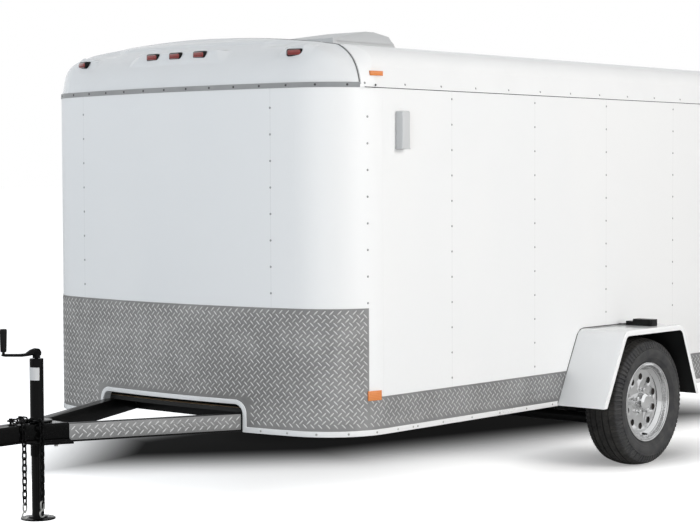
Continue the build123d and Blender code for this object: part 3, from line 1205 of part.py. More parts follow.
with BuildPart() as side_hardware:
    for plane in hinge_planes("side"):
        add(strap_half(plane))
    with BuildSketch(Plane.YZ.offset(-BODY_HALF_WIDTH - SEAT_GAP)):
        with Locations((SIDE_LEAF_REAR_Y - LATCH_PLATE_WIDTH, LATCH_PLATE_Z)):
            RectangleRounded(LATCH_PLATE_WIDTH, LATCH_PLATE_HEIGHT, LATCH_PLATE_CORNER)
    extrude(amount=-LATCH_PLATE_THICKNESS)
    with BuildSketch(Plane.YZ.offset(-BODY_HALF_WIDTH - SEAT_GAP - LATCH_PLATE_THICKNESS)):
        with Locations((SIDE_LEAF_REAR_Y - LATCH_PLATE_WIDTH, LATCH_PLATE_Z)):
            RectangleRounded(LATCH_GRIP_WIDTH, LATCH_GRIP_HEIGHT, LATCH_GRIP_CORNER)
    extrude(amount=-LATCH_PLATE_THICKNESS)
    with BuildSketch(Plane.YZ.offset(-BODY_HALF_WIDTH - SEAT_GAP)):
        with Locations((SIDE_DOOR_FRONT_Y + SIDE_DOOR_WIDTH / 2, (LEAF_LOW_Z + SIDE_BAND_TOP_Z) / 2)):
            Rectangle(SIDE_DOOR_WIDTH, SIDE_BAND_TOP_Z - LEAF_LOW_Z)
    extrude(amount=-CLADDING)
finish_node(side_hardware, "side_door_hardware")

with BuildPart() as plate_bracket:
    with BuildSketch(Plane.XZ.offset(-REAR_Y - SEAT_GAP)):
        with Locations((PLATE_X, PLATE_Z)):
            RectangleRounded(PLATE_WIDTH, PLATE_HEIGHT, PLATE_CORNER)
            with GridLocations(PLATE_HOLE_X, PLATE_HOLE_Z, 2, 2):
                Circle(PLATE_HOLE_RADIUS, mode=Mode.SUBTRACT)
    extrude(amount=-PLATE_THICKNESS)
finish_node(plate_bracket, "plate_bracket")

# ---------------------------------------------------------------- lamps
LAMP_BODY = (LAMP_LENGTH, CAP_LAMP_DEPTH, LAMP_HEIGHT)
cap_form = canopy_form(-SEAT_GAP)
with BuildPart() as cap_lamps:
    for x in CAP_LAMP_X:
        drop = BOW_RADIUS - sqrt(BOW_RADIUS**2 - x**2)
        with Locations((x, BOW_Y + CAP_LAMP_FACE + LAMP_BODY[1] / 2 + drop, CAP_LAMP_Z)):
            Box(*LAMP_BODY)
    fillet(cap_lamps.edges().filter_by(Axis.Y), LAMP_CORNER)
    add(cap_form, mode=Mode.SUBTRACT)
finish_node(cap_lamps, "cap_lamps")

with BuildPart() as side_markers:
    lamp_low_z = SIDE_LAMP_Z - SIDE_LAMP_HEIGHT / 2
    lamp_front_y = SIDE_LAMP_Y - LAMP_LENGTH / 2
    lamp_top_z = lamp_low_z + SIDE_LAMP_HEIGHT
    add(plan_band(0, -SIDE_LAMP_DEPTH, lamp_low_z, lamp_top_z, lamp_front_y, lamp_front_y + LAMP_LENGTH))
    add(cap_form, mode=Mode.SUBTRACT)
    reflector_low_z = REFLECTOR_Z - REFLECTOR_HEIGHT / 2
    add(
        plan_band(
            CLAD_OUT + SEAT_GAP + REFLECTOR_THICKNESS,
            CLAD_OUT + SEAT_GAP,
            reflector_low_z,
            reflector_low_z + REFLECTOR_HEIGHT,
            REFLECTOR_Y - REFLECTOR_LENGTH / 2,
            REFLECTOR_Y + REFLECTOR_LENGTH / 2,
        )
    )
finish_node(side_markers, "side_markers")

with BuildPart() as tail_lamps:
    for sign in (1, -1):
        with BuildSketch(Plane.XZ.offset(-REAR_Y - SEAT_GAP)):
            with Locations((sign * (BODY_HALF_WIDTH + OPENING_HALF) / 2, TAIL_LAMP_Z)):
                RectangleRounded(TAIL_LAMP_WIDTH, TAIL_LAMP_HEIGHT, TAIL_LAMP_CORNER)
        extrude(amount=-TAIL_LAMP_THICKNESS)
finish_node(tail_lamps, "tail_lamps")

# ---------------------------------------------------------------- vents
with BuildPart() as side_vents:
    for sign in (1, -1):
        with BuildSketch(Plane.YZ.offset(sign * (BODY_HALF_WIDTH + SEAT_GAP))):
            with Locations((SIDE_VENT_Y, SIDE_VENT_Z)):
                RectangleRounded(SIDE_VENT_WIDTH, SIDE_VENT_HEIGHT, SIDE_VENT_CORNER)
        extrude(amount=sign * SIDE_VENT_PROUD)
finish_node(side_vents, "side_vents")

VENT_FRONT_Y = VENT_REAR_Y - VENT_LENGTH
VENT_AXIS_Y = VENT_FRONT_Y - VENT_BARREL_RADIUS + VENT_BARREL_LAP
LID_LOW_Z = VENT_CURB_TOP_Z - LID_LAP
VENT_AXIS_Z = LID_LOW_Z + VENT_BARREL_RADIUS
with BuildPart() as vent_curb:
    with BuildSketch(Plane.XY.offset(SHOULDER_Z)):
        with Locations((0, VENT_MID_Y)):
            Rectangle(VENT_WIDTH - 2 * CURB_INSET, VENT_LENGTH - 2 * CURB_INSET)
            Rectangle(VENT_HOLE, VENT_HOLE, mode=Mode.SUBTRACT)
    extrude(amount=VENT_CURB_TOP_Z - SHOULDER_Z)
    with BuildSketch(Plane.XZ.offset(-REAR_Y)):
        add(roof_section(-SEAT_GAP))
    extrude(amount=REAR_Y - FRONT_REACH_Y, mode=Mode.SUBTRACT)
    for x in VENT_HINGE_X:
        with BuildSketch(Plane.YZ.offset(x - VENT_BARREL_LENGTH / 2 - SEAT_GAP - VENT_LUG)):
            with BuildLine():
                Polyline(
                    (VENT_FRONT_Y + CURB_INSET, VENT_LUG_Z),
                    (VENT_AXIS_Y - VENT_LUG_RADIUS, VENT_LUG_Z),
                    (VENT_AXIS_Y - VENT_LUG_RADIUS, VENT_AXIS_Z),
                    (VENT_AXIS_Y + VENT_LUG_RADIUS, VENT_AXIS_Z),
                    (VENT_AXIS_Y + VENT_LUG_RADIUS, VENT_LUG_Z + VENT_LUG_SHEET),
                    (VENT_FRONT_Y + CURB_INSET, VENT_LUG_Z + VENT_LUG_SHEET),
                    close=True,
                )
            make_face()
            with Locations((VENT_AXIS_Y, VENT_AXIS_Z)):
                Circle(VENT_LUG_RADIUS)
        extrude(amount=VENT_BARREL_LENGTH + 2 * (SEAT_GAP + VENT_LUG))
        with BuildSketch(Plane.YZ.offset(x - VENT_BARREL_LENGTH / 2 - SEAT_GAP)):
            with Locations((VENT_AXIS_Y, VENT_LUG_Z + VENT_LUG_SHEET + 2 * VENT_BARREL_RADIUS)):
                Rectangle(2 * CURB_INSET, 4 * VENT_BARREL_RADIUS)
        extrude(amount=VENT_BARREL_LENGTH + 2 * SEAT_GAP, mode=Mode.SUBTRACT)
        with BuildSketch(Plane.YZ.offset(x - VENT_BARREL_LENGTH / 2 - SEAT_GAP - VENT_LUG)):
            with Locations((VENT_AXIS_Y, VENT_AXIS_Z)):
                Circle(VENT_PIN_RADIUS)
        extrude(amount=VENT_BARREL_LENGTH + 2 * (SEAT_GAP + VENT_LUG))
finish_node(vent_curb, "roof_vent_curb")


def lid_profile(shrink=0.0):
    """Side view of the vent lid: a long front slope up to a high rear edge, moved in by shrink."""
    with BuildSketch() as profile:
        with BuildLine():
            Polyline(
                (VENT_FRONT_Y + shrink, LID_LOW_Z),
                (VENT_FRONT_Y + shrink, LID_FRONT_Z - shrink),
                (VENT_REAR_Y - LID_CREST, VENT_TOP_Z - shrink),
                (VENT_REAR_Y - LID_CREST / 2, VENT_TOP_Z - shrink),
                (VENT_REAR_Y - shrink, LID_FRONT_Z + LID_CREST / 4 - shrink),
                (VENT_REAR_Y - shrink, LID_LOW_Z),
                close=True,
            )
        make_face()
    return profile.sketch


with BuildPart() as vent_lid:
    with BuildSketch(Plane.YZ.offset(-VENT_WIDTH / 2)):
        add(lid_profile())
    extrude(amount=VENT_WIDTH)
    with BuildSketch(Plane.YZ.offset(-VENT_WIDTH / 2 + LID_SHEET)):
        add(lid_profile(LID_SHEET))
    extrude(amount=VENT_WIDTH - 2 * LID_SHEET, mode=Mode.SUBTRACT)
    with BuildSketch(Plane.XY.offset(VENT_CURB_TOP_Z + SEAT_GAP)):
        with Locations((0, VENT_MID_Y)):
            Rectangle(VENT_WIDTH - LID_SHEET, VENT_LENGTH - LID_SHEET)
            Rectangle(VENT_WIDTH - 2 * LID_SEAT, VENT_LENGTH - 2 * LID_SEAT, mode=Mode.SUBTRACT)
    extrude(amount=LID_SHEET)
    for x in VENT_HINGE_X:
        with BuildSketch(Plane.YZ.offset(x - VENT_BARREL_LENGTH / 2)):
            with Locations((VENT_AXIS_Y, VENT_AXIS_Z)):
                Circle(VENT_BARREL_RADIUS)
                Circle(VENT_PIN_RADIUS + SEAT_GAP, mode=Mode.SUBTRACT)
        extrude(amount=VENT_BARREL_LENGTH)
finish_node(vent_lid, "roof_vent_lid")
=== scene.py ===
"""Finishes and fine parts of an enclosed utility trailer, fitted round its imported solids.

All places are in metres in the solids' frame: +Z up, the tongue along -Y, the road side at +X.
"""
import logging
import math
from collections.abc import Callable, Iterable, Iterator, Sequence
from contextlib import contextmanager
from dataclasses import dataclass
from enum import Enum

import bmesh
import bpy
import numpy as np
from mathutils import Matrix, Vector
from mathutils.bvhtree import BVHTree


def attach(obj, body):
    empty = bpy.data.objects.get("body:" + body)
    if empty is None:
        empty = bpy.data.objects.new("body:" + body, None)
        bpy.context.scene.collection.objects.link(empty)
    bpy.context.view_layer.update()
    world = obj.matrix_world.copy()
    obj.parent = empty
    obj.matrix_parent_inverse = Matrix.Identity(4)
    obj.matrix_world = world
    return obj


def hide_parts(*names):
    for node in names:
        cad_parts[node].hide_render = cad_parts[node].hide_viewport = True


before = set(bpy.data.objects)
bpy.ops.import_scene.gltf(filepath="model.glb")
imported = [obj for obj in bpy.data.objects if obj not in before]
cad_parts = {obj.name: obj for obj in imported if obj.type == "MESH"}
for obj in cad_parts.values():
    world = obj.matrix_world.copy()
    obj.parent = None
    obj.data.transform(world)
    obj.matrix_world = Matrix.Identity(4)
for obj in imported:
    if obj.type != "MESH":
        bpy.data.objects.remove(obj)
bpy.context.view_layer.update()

LOG = logging.getLogger("trailer")
Colour = tuple[float, float, float, float]
Spot = tuple[float, float, float]
Corners = tuple[Spot, Spot]
Piece = bpy.types.Object
SIDES = (("left", 1), ("right", -1))
MIRROR = Matrix.Scale(-1, 4, (1, 0, 0))
RIGHT_ANGLE = math.pi / 2
WELD = 0.00002
FAR = 3.0

HALF_WIDTH = 0.950
SEAM_Y = -1.8642
REAR_FACE_Y = 1.550
OFF_WALL = 0.0003
DECK_TOP = 0.4162
SKIRT_FOOT = 0.330
BAND_FOOT, BAND_HEAD = 0.3423, 0.479
OPENING_HALF, OPENING_HEAD = 0.478, 0.470
DOOR_FRONT, DOOR_REAR = -1.580, -0.730
TONGUE_SLOPE = math.radians(25.0)
TONGUE_REAR_X = 0.253 * math.tan(TONGUE_SLOPE) + 0.0033
COUPLER_REAR_Y = -2.777
AXLE_HEIGHT = 0.312


def grey(level: float, warmth: float = 0.0) -> Colour:
    """A near-neutral linear colour; positive warmth leans to red, negative to blue."""
    return (level * (1 + warmth), level, level * (1 - warmth), 1.0)


# ------------------------------------------------------------------ shader graphs
class Sock:
    """A shader socket that takes part in Python arithmetic."""

    def __init__(self, graph: "Graph", source: bpy.types.NodeSocket) -> None:
        """Wraps one output socket of a graph."""
        self.graph = graph
        self.source = source

    def maths(self, operation: str, *values: "Sock | float") -> "Sock":
        """Adds one Math node.

        Args:
            operation: the Math node's operation.
            values: its inputs in order.

        Returns:
            The node's result.
        """
        inputs = dict(enumerate(values))
        return self.graph.out("ShaderNodeMath", {"operation": operation}, inputs)

    def __add__(self, other: "Sock | float") -> "Sock":
        """Sum."""
        return self.maths("ADD", self, other)

    __radd__ = __add__

    def __sub__(self, other: "Sock | float") -> "Sock":
        """Difference."""
        return self.maths("SUBTRACT", self, other)

    def __rsub__(self, other: float) -> "Sock":
        """Difference from a number."""
        return self.maths("SUBTRACT", other, self)

    def __mul__(self, other: "Sock | float") -> "Sock":
        """Product."""
        return self.maths("MULTIPLY", self, other)

    __rmul__ = __mul__

    def __truediv__(self, other: "Sock | float") -> "Sock":
        """Quotient."""
        return self.maths("DIVIDE", self, other)

    def __abs__(self) -> "Sock":
        """Distance from zero."""
        return self.maths("ABSOLUTE", self)

    def __lt__(self, other: "Sock | float") -> "Sock":
        """One where this is less, else zero."""
        return self.maths("LESS_THAN", self, other)

    def __gt__(self, other: "Sock | float") -> "Sock":
        """One where this is greater, else zero."""
        return self.maths("GREATER_THAN", self, other)

    def hypot(self, other: "Sock") -> "Sock":
        """Length of the two as legs of a right angle."""
        square = self * self + other * other
        return square.maths("SQRT", square)

    def lesser(self, other: "Sock | float") -> "Sock":
        """The smaller of the two."""
        return self.maths("MINIMUM", self, other)

    def greater(self, other: "Sock | float") -> "Sock":
        """The larger of the two."""
        return self.maths("MAXIMUM", self, other)

    def sine(self) -> "Sock":
        """Sine of an angle."""
        return self.maths("SINE", self)

    def fraction(self) -> "Sock":
        """What is past the whole number."""
        return self.maths("FRACT", self)

    def rise(self, low: float, high: float, start: float = 0.0, end: float = 1.0,
             kind: str = "SMOOTHSTEP") -> "Sock":
        """Step from start at low to end at high.

        Args:
            low: where the step begins.
            high: where it ends.
            start: value before it.
            end: value after it.
            kind: its curve, SMOOTHSTEP or LINEAR.

        Returns:
            The stepped value.
        """
        inputs = {"Value": self, "From Min": low, "From Max": high, "To Min": start, "To Max": end}
        return self.graph.out("ShaderNodeMapRange", {"interpolation_type": kind}, inputs)


class Graph:
    """Node tree of one material or of the world."""

    def __init__(self, owner: bpy.types.Material | bpy.types.World) -> None:
        """Empties the owner's node tree.

        Args:
            owner: the material or the world whose nodes these are.
        """
        self.owner = owner
        owner.use_nodes = True
        self.tree = owner.node_tree
        self.tree.nodes.clear()

    def node(self, kind: str, settings: dict | None = None,
             inputs: dict | None = None) -> bpy.types.Node:
        """Adds a node.

        Args:
            kind: the node's type name.
            settings: its own properties, set first.
            inputs: values or Socks by input name or number.

        Returns:
            The new node.
        """
        made = self.tree.nodes.new(kind)
        for name, value in (settings or {}).items():
            setattr(made, name, value)
        for name, value in (inputs or {}).items():
            if isinstance(value, Sock):
                self.tree.links.new(value.source, made.inputs[name])
            else:
                made.inputs[name].default_value = value
        return made

    def out(self, kind: str, settings: dict | None = None, inputs: dict | None = None,
            socket: str | int = 0) -> Sock:
        """One output of a new node.

        Args:
            kind: the node's type name.
            settings: its own properties.
            inputs: values or Socks by input name or number.
            socket: the output's name or number.

        Returns:
            The output.
        """
        return Sock(self, self.node(kind, settings, inputs).outputs[socket])

    def ray(self, kind: str) -> Sock:
        """One for light paths of a kind, such as "Is Camera Ray"."""
        return self.out("ShaderNodeLightPath", socket=kind)

    def axes(self, place: str = "Object") -> tuple[Sock, Sock, Sock]:
        """The X, Y and Z of texture coordinates.

        Args:
            place: which texture coordinates.

        Returns:
            The three parts.
        """
        whole = self.out("ShaderNodeTexCoord", socket=place)
        split = self.node("ShaderNodeSeparateXYZ", None, {0: whole})
        return tuple(Sock(self, part) for part in split.outputs)

    def noise(self, scale: float, detail: float = 3.0, stretch: Spot = (1, 1, 1)) -> Sock:
        """Noise on object coordinates.

        Args:
            scale: features per metre.
            detail: octaves.
            stretch: factor on each axis.

        Returns:
            A value about 0.5.
        """
        place = self.out("ShaderNodeTexCoord", socket="Object")
        mapped = self.out("ShaderNodeMapping", None, {"Vector": place, "Scale": stretch})
        inputs = {"Vector": mapped, "Scale": scale, "Detail": detail}
        return self.out("ShaderNodeTexNoise", {"noise_dimensions": "3D"}, inputs)

    def mix(self, factor: "Sock | float", first: "Sock | Colour", second: "Sock | Colour") -> Sock:
        """Colour that goes from first to second as factor goes from 0 to 1."""
        inputs = {0: factor, 6: first, 7: second}
        return self.out("ShaderNodeMix", {"data_type": "RGBA"}, inputs, 2)

    def bump(self, height: Sock, depth: float, strength: float = 1.0) -> Sock:
        """Normal of a relief; depth is its height in metres."""
        inputs = {"Height": height, "Distance": depth, "Strength": strength}
        return self.out("ShaderNodeBump", None, inputs)

    def surface(self, **sockets: "Sock | float | Colour") -> None:
        """Ends the graph in a Principled surface; underscores in the names stand for spaces."""
        inputs = {name.replace("_", " "): value for name, value in sockets.items()}
        shader = self.out("ShaderNodeBsdfPrincipled", None, inputs)
        self.node("ShaderNodeOutputMaterial", None, {"Surface": shader})


# ------------------------------------------------------------------ finishes
@dataclass(frozen=True)
class Finish:
    """A surface finish whose graph is drawn once and shared by its pieces."""

    name: str
    slot: str

    def draw(self, graph: Graph) -> None:
        """Draws the finish's nodes into a graph."""
        raise NotImplementedError

    def material(self) -> bpy.types.Material:
        """The finish's material, drawn when it is first asked for.

        Returns:
            The material.
        """
        name = f"{self.name}_finish"
        made = bpy.data.materials.get(name)
        if made is None:
            made = bpy.data.materials.new(name)
            self.draw(Graph(made))
        return made

    def dress(self, *pieces: Piece) -> None:
        """Puts the finish on pieces, in every slot they have.

        Args:
            pieces: the pieces that get it.
        """
        for piece in pieces:
            if not piece.material_slots:
                piece.data.materials.append(self.material())
            for place in piece.material_slots:
                place.material = self.material()


@dataclass(frozen=True)
class Paint(Finish):
    """Sprayed paint or moulded colour with a fine peel, a faint mottle and dust low down."""

    colour: Colour
    roughness: float = 0.3
    coat: float = 0.0
    gloss: float = 0.5
    peel: float = 0.00002
    peel_scale: float = 600.0
    mottle: float = 0.015
    dust: float = 0.0
    dust_top: float = 0.55

    def draw(self, graph: Graph) -> None:
        """Draws the paint.

        Args:
            graph: the graph that it is drawn into.
        """
        height = graph.axes()[2]
        cloud = graph.noise(3.0, 4.0)
        speck = graph.noise(140.0, 2.0)
        shade = tuple(part * (1 - 2 * self.mottle) for part in self.colour[:3]) + (1.0,)
        base = graph.mix(cloud.rise(0.3, 0.7), shade, self.colour)
        film = (1 - height.rise(0.05, self.dust_top)) * speck.rise(0.35, 0.75) * self.dust
        grain = graph.noise(self.peel_scale, 2.0)
        graph.surface(
            Base_Color=graph.mix(film, base, grey(0.42, 0.06)),
            Roughness=cloud * 0.08 + (self.roughness - 0.04) + film * 0.5,
            Coat_Weight=self.coat,
            Coat_Roughness=0.08,
            Specular_IOR_Level=self.gloss,
            Normal=graph.bump(grain, self.peel, 0.6),
        )


@dataclass(frozen=True)
class PanelPaint(Finish):
    """White sheet skin with a seam down each screw column outside and plywood inside."""

    colour: Colour
    seams: tuple[float, ...]
    seam_axis: int
    inner_half: float = 0.9127
    bow_radius: float = 3.63
    bow_centre: float = 1.523
    wall: float = 0.0372
    corner_x: float = 0.652
    corner_y: float = -1.7425
    corner: float = 0.298

    def seam_lines(self, graph: Graph) -> Sock:
        """One along each sheet joint, else zero.

        Args:
            graph: the skin's graph.

        Returns:
            The lines.
        """
        axis = graph.axes()[self.seam_axis]
        line = None
        for place in self.seams:
            ridge = 1 - abs(axis - place).rise(0.0006, 0.0016)
            line = ridge if line is None else line + ridge
        return line

    def inside(self, graph: Graph) -> Sock:
        """One on the faces that look into the body, else zero.

        Args:
            graph: the skin's graph.

        Returns:
            The mask.
        """
        across, along, _ = graph.axes()
        side = abs(across) < self.inner_half
        bow = across.hypot(along - self.bow_centre) < (self.bow_radius - self.wall)
        beyond = abs(across) - self.corner_x
        behind = along - self.corner_y
        outer = beyond.hypot(behind) > (self.corner - self.wall)
        return side * bow * (1 - (beyond > 0.0) * (behind < 0.0) * outer)

    def draw(self, graph: Graph) -> None:
        """Draws the skin, its seams and its lining.

        Args:
            graph: the graph that it is drawn into.
        """
        height = graph.axes()[2]
        ripple = graph.noise(1.6, 2.0, (1, 1, 0.5))
        grime = (1 - height.rise(0.34, 0.8)) * graph.noise(60.0).rise(0.45, 0.8) * 0.06
        dull = grey(self.colour[1] * 0.985, -0.004)
        white = graph.mix(ripple.rise(0.35, 0.65), self.colour, dull)
        skin = graph.mix(grime, white, grey(0.5, 0.05))
        skin = graph.mix(self.seam_lines(graph) * 0.3, skin, grey(0.45))
        grain = graph.noise(7.0, 5.0, (3.0, 3.0, 0.35))
        boards = graph.mix(grain.rise(0.3, 0.7), (0.42, 0.27, 0.14, 1), (0.60, 0.43, 0.25, 1))
        lining = graph.mix(height > DECK_TOP, grey(0.012), boards)
        inside = self.inside(graph)
        relief = ripple * 0.9 + graph.noise(1200.0, 1.0) * 0.02
        graph.surface(
            Base_Color=graph.mix(inside, skin, lining),
            Roughness=inside * 0.28 + 0.38 + ripple * 0.04,
            Specular_IOR_Level=0.35,
            Normal=graph.bump(relief, 0.0012, 0.5),
        )


@dataclass(frozen=True)
class Metal(Finish):
    """Bare metal with a drawn grain and dull patches."""

    colour: Colour
    roughness: float
    patches: float
    grain: float
    stretch: Spot = (1, 1, 1)
    scale: float = 260.0

    def draw(self, graph: Graph) -> None:
        """Draws the metal.

        Args:
            graph: the graph that it is drawn into.
        """
        cloud = graph.noise(9.0, 4.0)
        drawn = graph.noise(self.scale, 3.0, self.stretch)
        dull = tuple(part * (1 - self.patches) for part in self.colour[:3]) + (1.0,)
        graph.surface(
            Base_Color=graph.mix(cloud.rise(0.35, 0.7), dull, self.colour),
            Metallic=1.0,
            Roughness=drawn * 0.12 + cloud * 0.08 + (self.roughness - 0.1),
            Normal=graph.bump(drawn, self.grain, 0.5),
        )


@dataclass(frozen=True)
class TyreRubber(Finish):
    """Tyre rubber: matt, lighter on the sidewall, with fine moulding rings."""

    tread_start: float = 0.292
    tread_full: float = 0.300

    def draw(self, graph: Graph) -> None:
        """Draws the rubber.

        Args:
            graph: the graph that it is drawn into.
        """
        _, along, height = graph.axes()
        radius = along.hypot(height - AXLE_HEIGHT)
        tread = radius.rise(self.tread_start, self.tread_full)
        cloud = graph.noise(22.0, 4.0)
        wall = graph.mix(cloud.rise(0.3, 0.75), (0.036, 0.036, 0.038, 1), (0.060, 0.059, 0.058, 1))
        worn = graph.mix(cloud.rise(0.3, 0.7), (0.026, 0.025, 0.024, 1), (0.045, 0.043, 0.040, 1))
        rings = (radius * 2200.0).sine() * (1 - tread)
        relief = graph.noise(700.0) * 0.6 + rings * 0.12
        graph.surface(
            Base_Color=graph.mix(tread, wall, worn),
            Roughness=tread * 0.18 + 0.50 + cloud * 0.1,
            Specular_IOR_Level=0.22,
            Normal=graph.bump(relief, 0.0003, 0.6),
        )


@dataclass(frozen=True)
class HubMetal(Finish):
    """Chrome cap and nuts outside the wheel disc, cast iron drum behind it."""

    disc_x: float

    def draw(self, graph: Graph) -> None:
        """Draws both metals and parts them at the disc.

        Args:
            graph: the graph that it is drawn into.
        """
        front = abs(graph.axes()[0]) > self.disc_x
        cloud = graph.noise(30.0, 4.0)
        iron = graph.mix(cloud.rise(0.4, 0.7), (0.010, 0.009, 0.009, 1), (0.024, 0.019, 0.017, 1))
        graph.surface(
            Base_Color=graph.mix(front, iron, grey(0.86)),
            Metallic=front,
            Specular_IOR_Level=0.3,
            Roughness=0.62 - front * 0.50 + cloud * 0.05,
            Normal=graph.bump(graph.noise(400.0, 2.0), 0.00004, 0.4),
        )


@dataclass(frozen=True)
class Lens(Finish):
    """Moulded lamp lens with fine flutes under a glossy face."""

    colour: Colour
    deep: Colour
    pitch: float = 0.0035

    def draw(self, graph: Graph) -> None:
        """Draws the lens.

        Args:
            graph: the graph that it is drawn into.
        """
        across, along, height = graph.axes()
        wave = ((across + along) * (math.tau / self.pitch)).sine() * 0.5 + 0.5
        bands = (height * (math.tau / (2 * self.pitch))).sine() * 0.5 + 0.5
        relief = wave * 0.7 + bands * 0.3
        shade = graph.mix(relief, self.deep, self.colour)
        graph.surface(
            Base_Color=shade,
            Roughness=0.22 + wave * 0.05,
            Coat_Weight=1.0,
            Coat_Roughness=0.03,
            Emission_Color=shade,
            Emission_Strength=0.06,
            Normal=graph.bump(relief, 0.0003, 0.5),
        )


@dataclass(frozen=True)
class Timber(Finish):
    """Plywood boards with long grain and board joints, black below the deck."""

    joint: float = 1.22

    def draw(self, graph: Graph) -> None:
        """Draws the boards.

        Args:
            graph: the graph that it is drawn into.
        """
        _, along, height = graph.axes()
        grain = graph.noise(9.0, 6.0, (6.0, 0.5, 6.0))
        fine = graph.noise(160.0, 2.0, (2.0, 0.1, 2.0))
        wood = graph.mix(grain.rise(0.3, 0.7), (0.36, 0.23, 0.12, 1), (0.58, 0.42, 0.25, 1))
        board = (along / self.joint).fraction()
        seam = 1 - abs(board - 0.5).rise(0.0008, 0.0016)
        streaked = graph.mix(fine * 0.3, wood, (0.3, 0.19, 0.1, 1))
        boards = graph.mix(seam * 0.7, streaked, grey(0.05))
        graph.surface(
            Base_Color=graph.mix(height > DECK_TOP, grey(0.012), boards),
            Roughness=0.62 + grain * 0.12,
            Normal=graph.bump(grain * 0.5 + fine * 0.5, 0.0003, 0.5),
        )


class Finishes(Enum):
    """The trailer's finishes, each with the record's slot that it stands for."""

    GEL_COAT = Paint("cap_gel_coat", "cap_white", grey(0.73, -0.008), 0.22, 0.5,
                     peel=0.00001, peel_scale=300.0, mottle=0.012)
    ROOF_WHITE = Paint("roof_white", "roof_white", grey(0.80), 0.3, 0.25,
                       peel=0.00001, peel_scale=500.0)
    TRIM_WHITE = Paint("trim_white", "trim_white", grey(0.78), 0.28, 0.3, mottle=0.02, dust=0.06)
    FENDER_WHITE = Paint("fender_white", "fender_white", grey(0.86, -0.003), 0.2, 0.5,
                         peel_scale=500.0, dust=0.10, dust_top=0.45)
    DOOR_WHITE = Paint("door_white", "skin_white", grey(0.80), 0.26, 0.3,
                       peel_scale=500.0, dust=0.05)
    SIDE_SKIN = PanelPaint("side_skin", "skin_white", grey(0.80),
                           (-1.269, -0.638, -0.035, 0.586), 1)
    FRONT_SKIN = PanelPaint("front_skin", "skin_white", grey(0.80), (-0.592, 0.592), 0)
    TREAD_SHEET = Metal("tread_sheet", "tread_plate", grey(0.385, 0.006), 0.46, 0.16, 0.00004)
    # The bars are the sheet's aluminium at about twice its brightness: a painted highlight on the raised
    # bars.
    TREAD_BARS = Metal("tread_bars_highlit", "tread_plate", grey(0.74, 0.004), 0.42, 0.08, 0.00002)
    ALUMINIUM = Metal("mill_aluminium", "trim_aluminium", grey(0.42, -0.02), 0.38, 0.1, 0.00003,
                      stretch=(0.05, 0.05, 1.0))
    CHROME = Metal("wheel_chrome", "rim_chrome", grey(0.74), 0.17, 0.08, 0.00001, scale=90.0)
    ZINC = Metal("bright_zinc", "zinc", (0.48, 0.48, 0.46, 1), 0.34, 0.2, 0.00004)
    FRAME_BLACK = Paint("frame_black", "rail_black", grey(0.006), 0.32, gloss=0.16,
                        peel=0.00006, peel_scale=400.0, mottle=0.2, dust=0.01)
    GLOSS_BLACK = Paint("gloss_black", "coupler_black", grey(0.004), 0.18, gloss=0.09,
                        peel=0.00004, peel_scale=300.0, mottle=0.2, dust=0.002)
    BLACK_PLASTIC = Paint("black_plastic", "black_plastic", grey(0.006), 0.32, gloss=0.16,
                          peel=0.00008, peel_scale=900.0, mottle=0.2, dust=0.005)
    VENT_PLASTIC = Paint("vent_plastic", "vent_plastic", grey(0.55, -0.012), 0.4, 0.1,
                         peel=0.00005, peel_scale=700.0, mottle=0.02)
    SEAL = Paint("rubber_seal", "black_plastic", grey(0.03), 0.6, gloss=0.2,
                 peel=0.00008, mottle=0.2)
    JOINT = Paint("cap_joint", "black_plastic", grey(0.17), 0.5, peel=0.00004, mottle=0.1)
    UNDERCOAT = Paint("undercoat", "black_plastic", grey(0.020), 0.7, gloss=0.15,
                      peel=0.0003, peel_scale=260.0, mottle=0.2, dust=0.05)
    SCREW = Paint("screw_paint", "zinc", grey(0.30), 0.4, mottle=0.05)
    TRIM_SCREW = Paint("trim_screw", "zinc", grey(0.06), 0.4, mottle=0.05)
    LABEL = Paint("blank_label", "trim_white", grey(0.62), 0.35, 0.1,
                  peel=0.00001, peel_scale=400.0, mottle=0.03)
    RED_LENS = Lens("red_lens", "lamp_red", (0.26, 0.012, 0.006, 1), (0.10, 0.003, 0.002, 1))
    AMBER_LENS = Lens("amber_lens", "lamp_amber", (0.78, 0.27, 0.06, 1), (0.50, 0.13, 0.02, 1))
    PLYWOOD = Timber("plywood", "plywood")
    TYRE = TyreRubber("tyre_rubber", "tyre_rubber")
    HUB = HubMetal("hub_metal", "hub_chrome", 1.1264)

    def carry(self, *nodes: str) -> None:
        """Puts this finish on carried-over solids by name."""
        self.value.dress(*(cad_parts[name] for name in nodes))

    def fit(self, piece: Piece, body: str = "trailer") -> Piece:
        """Puts this finish on a piece that rides on a body.

        Args:
            piece: the new piece.
            body: the body that carries it.

        Returns:
            The same piece.
        """
        self.value.dress(piece)
        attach(piece, body)
        LOG.info("%s: %d faces on %s", piece.name, len(piece.data.polygons), body)
        return piece

    def form(self, node: str, width: float, body: str = "trailer", segments: int = 2,
             angle: float = 35.0) -> Piece:
        """Rounds a solid's edges and puts this finish on it.

        Args:
            node: the solid's name.
            width: how far the rounding reaches from each edge.
            body: the body that carries it.
            segments: facets over the rounding.
            angle: only edges sharper than this are rounded.

        Returns:
            The rounded piece.
        """
        return self.fit(Bench.softened(node, width, segments, angle), body)


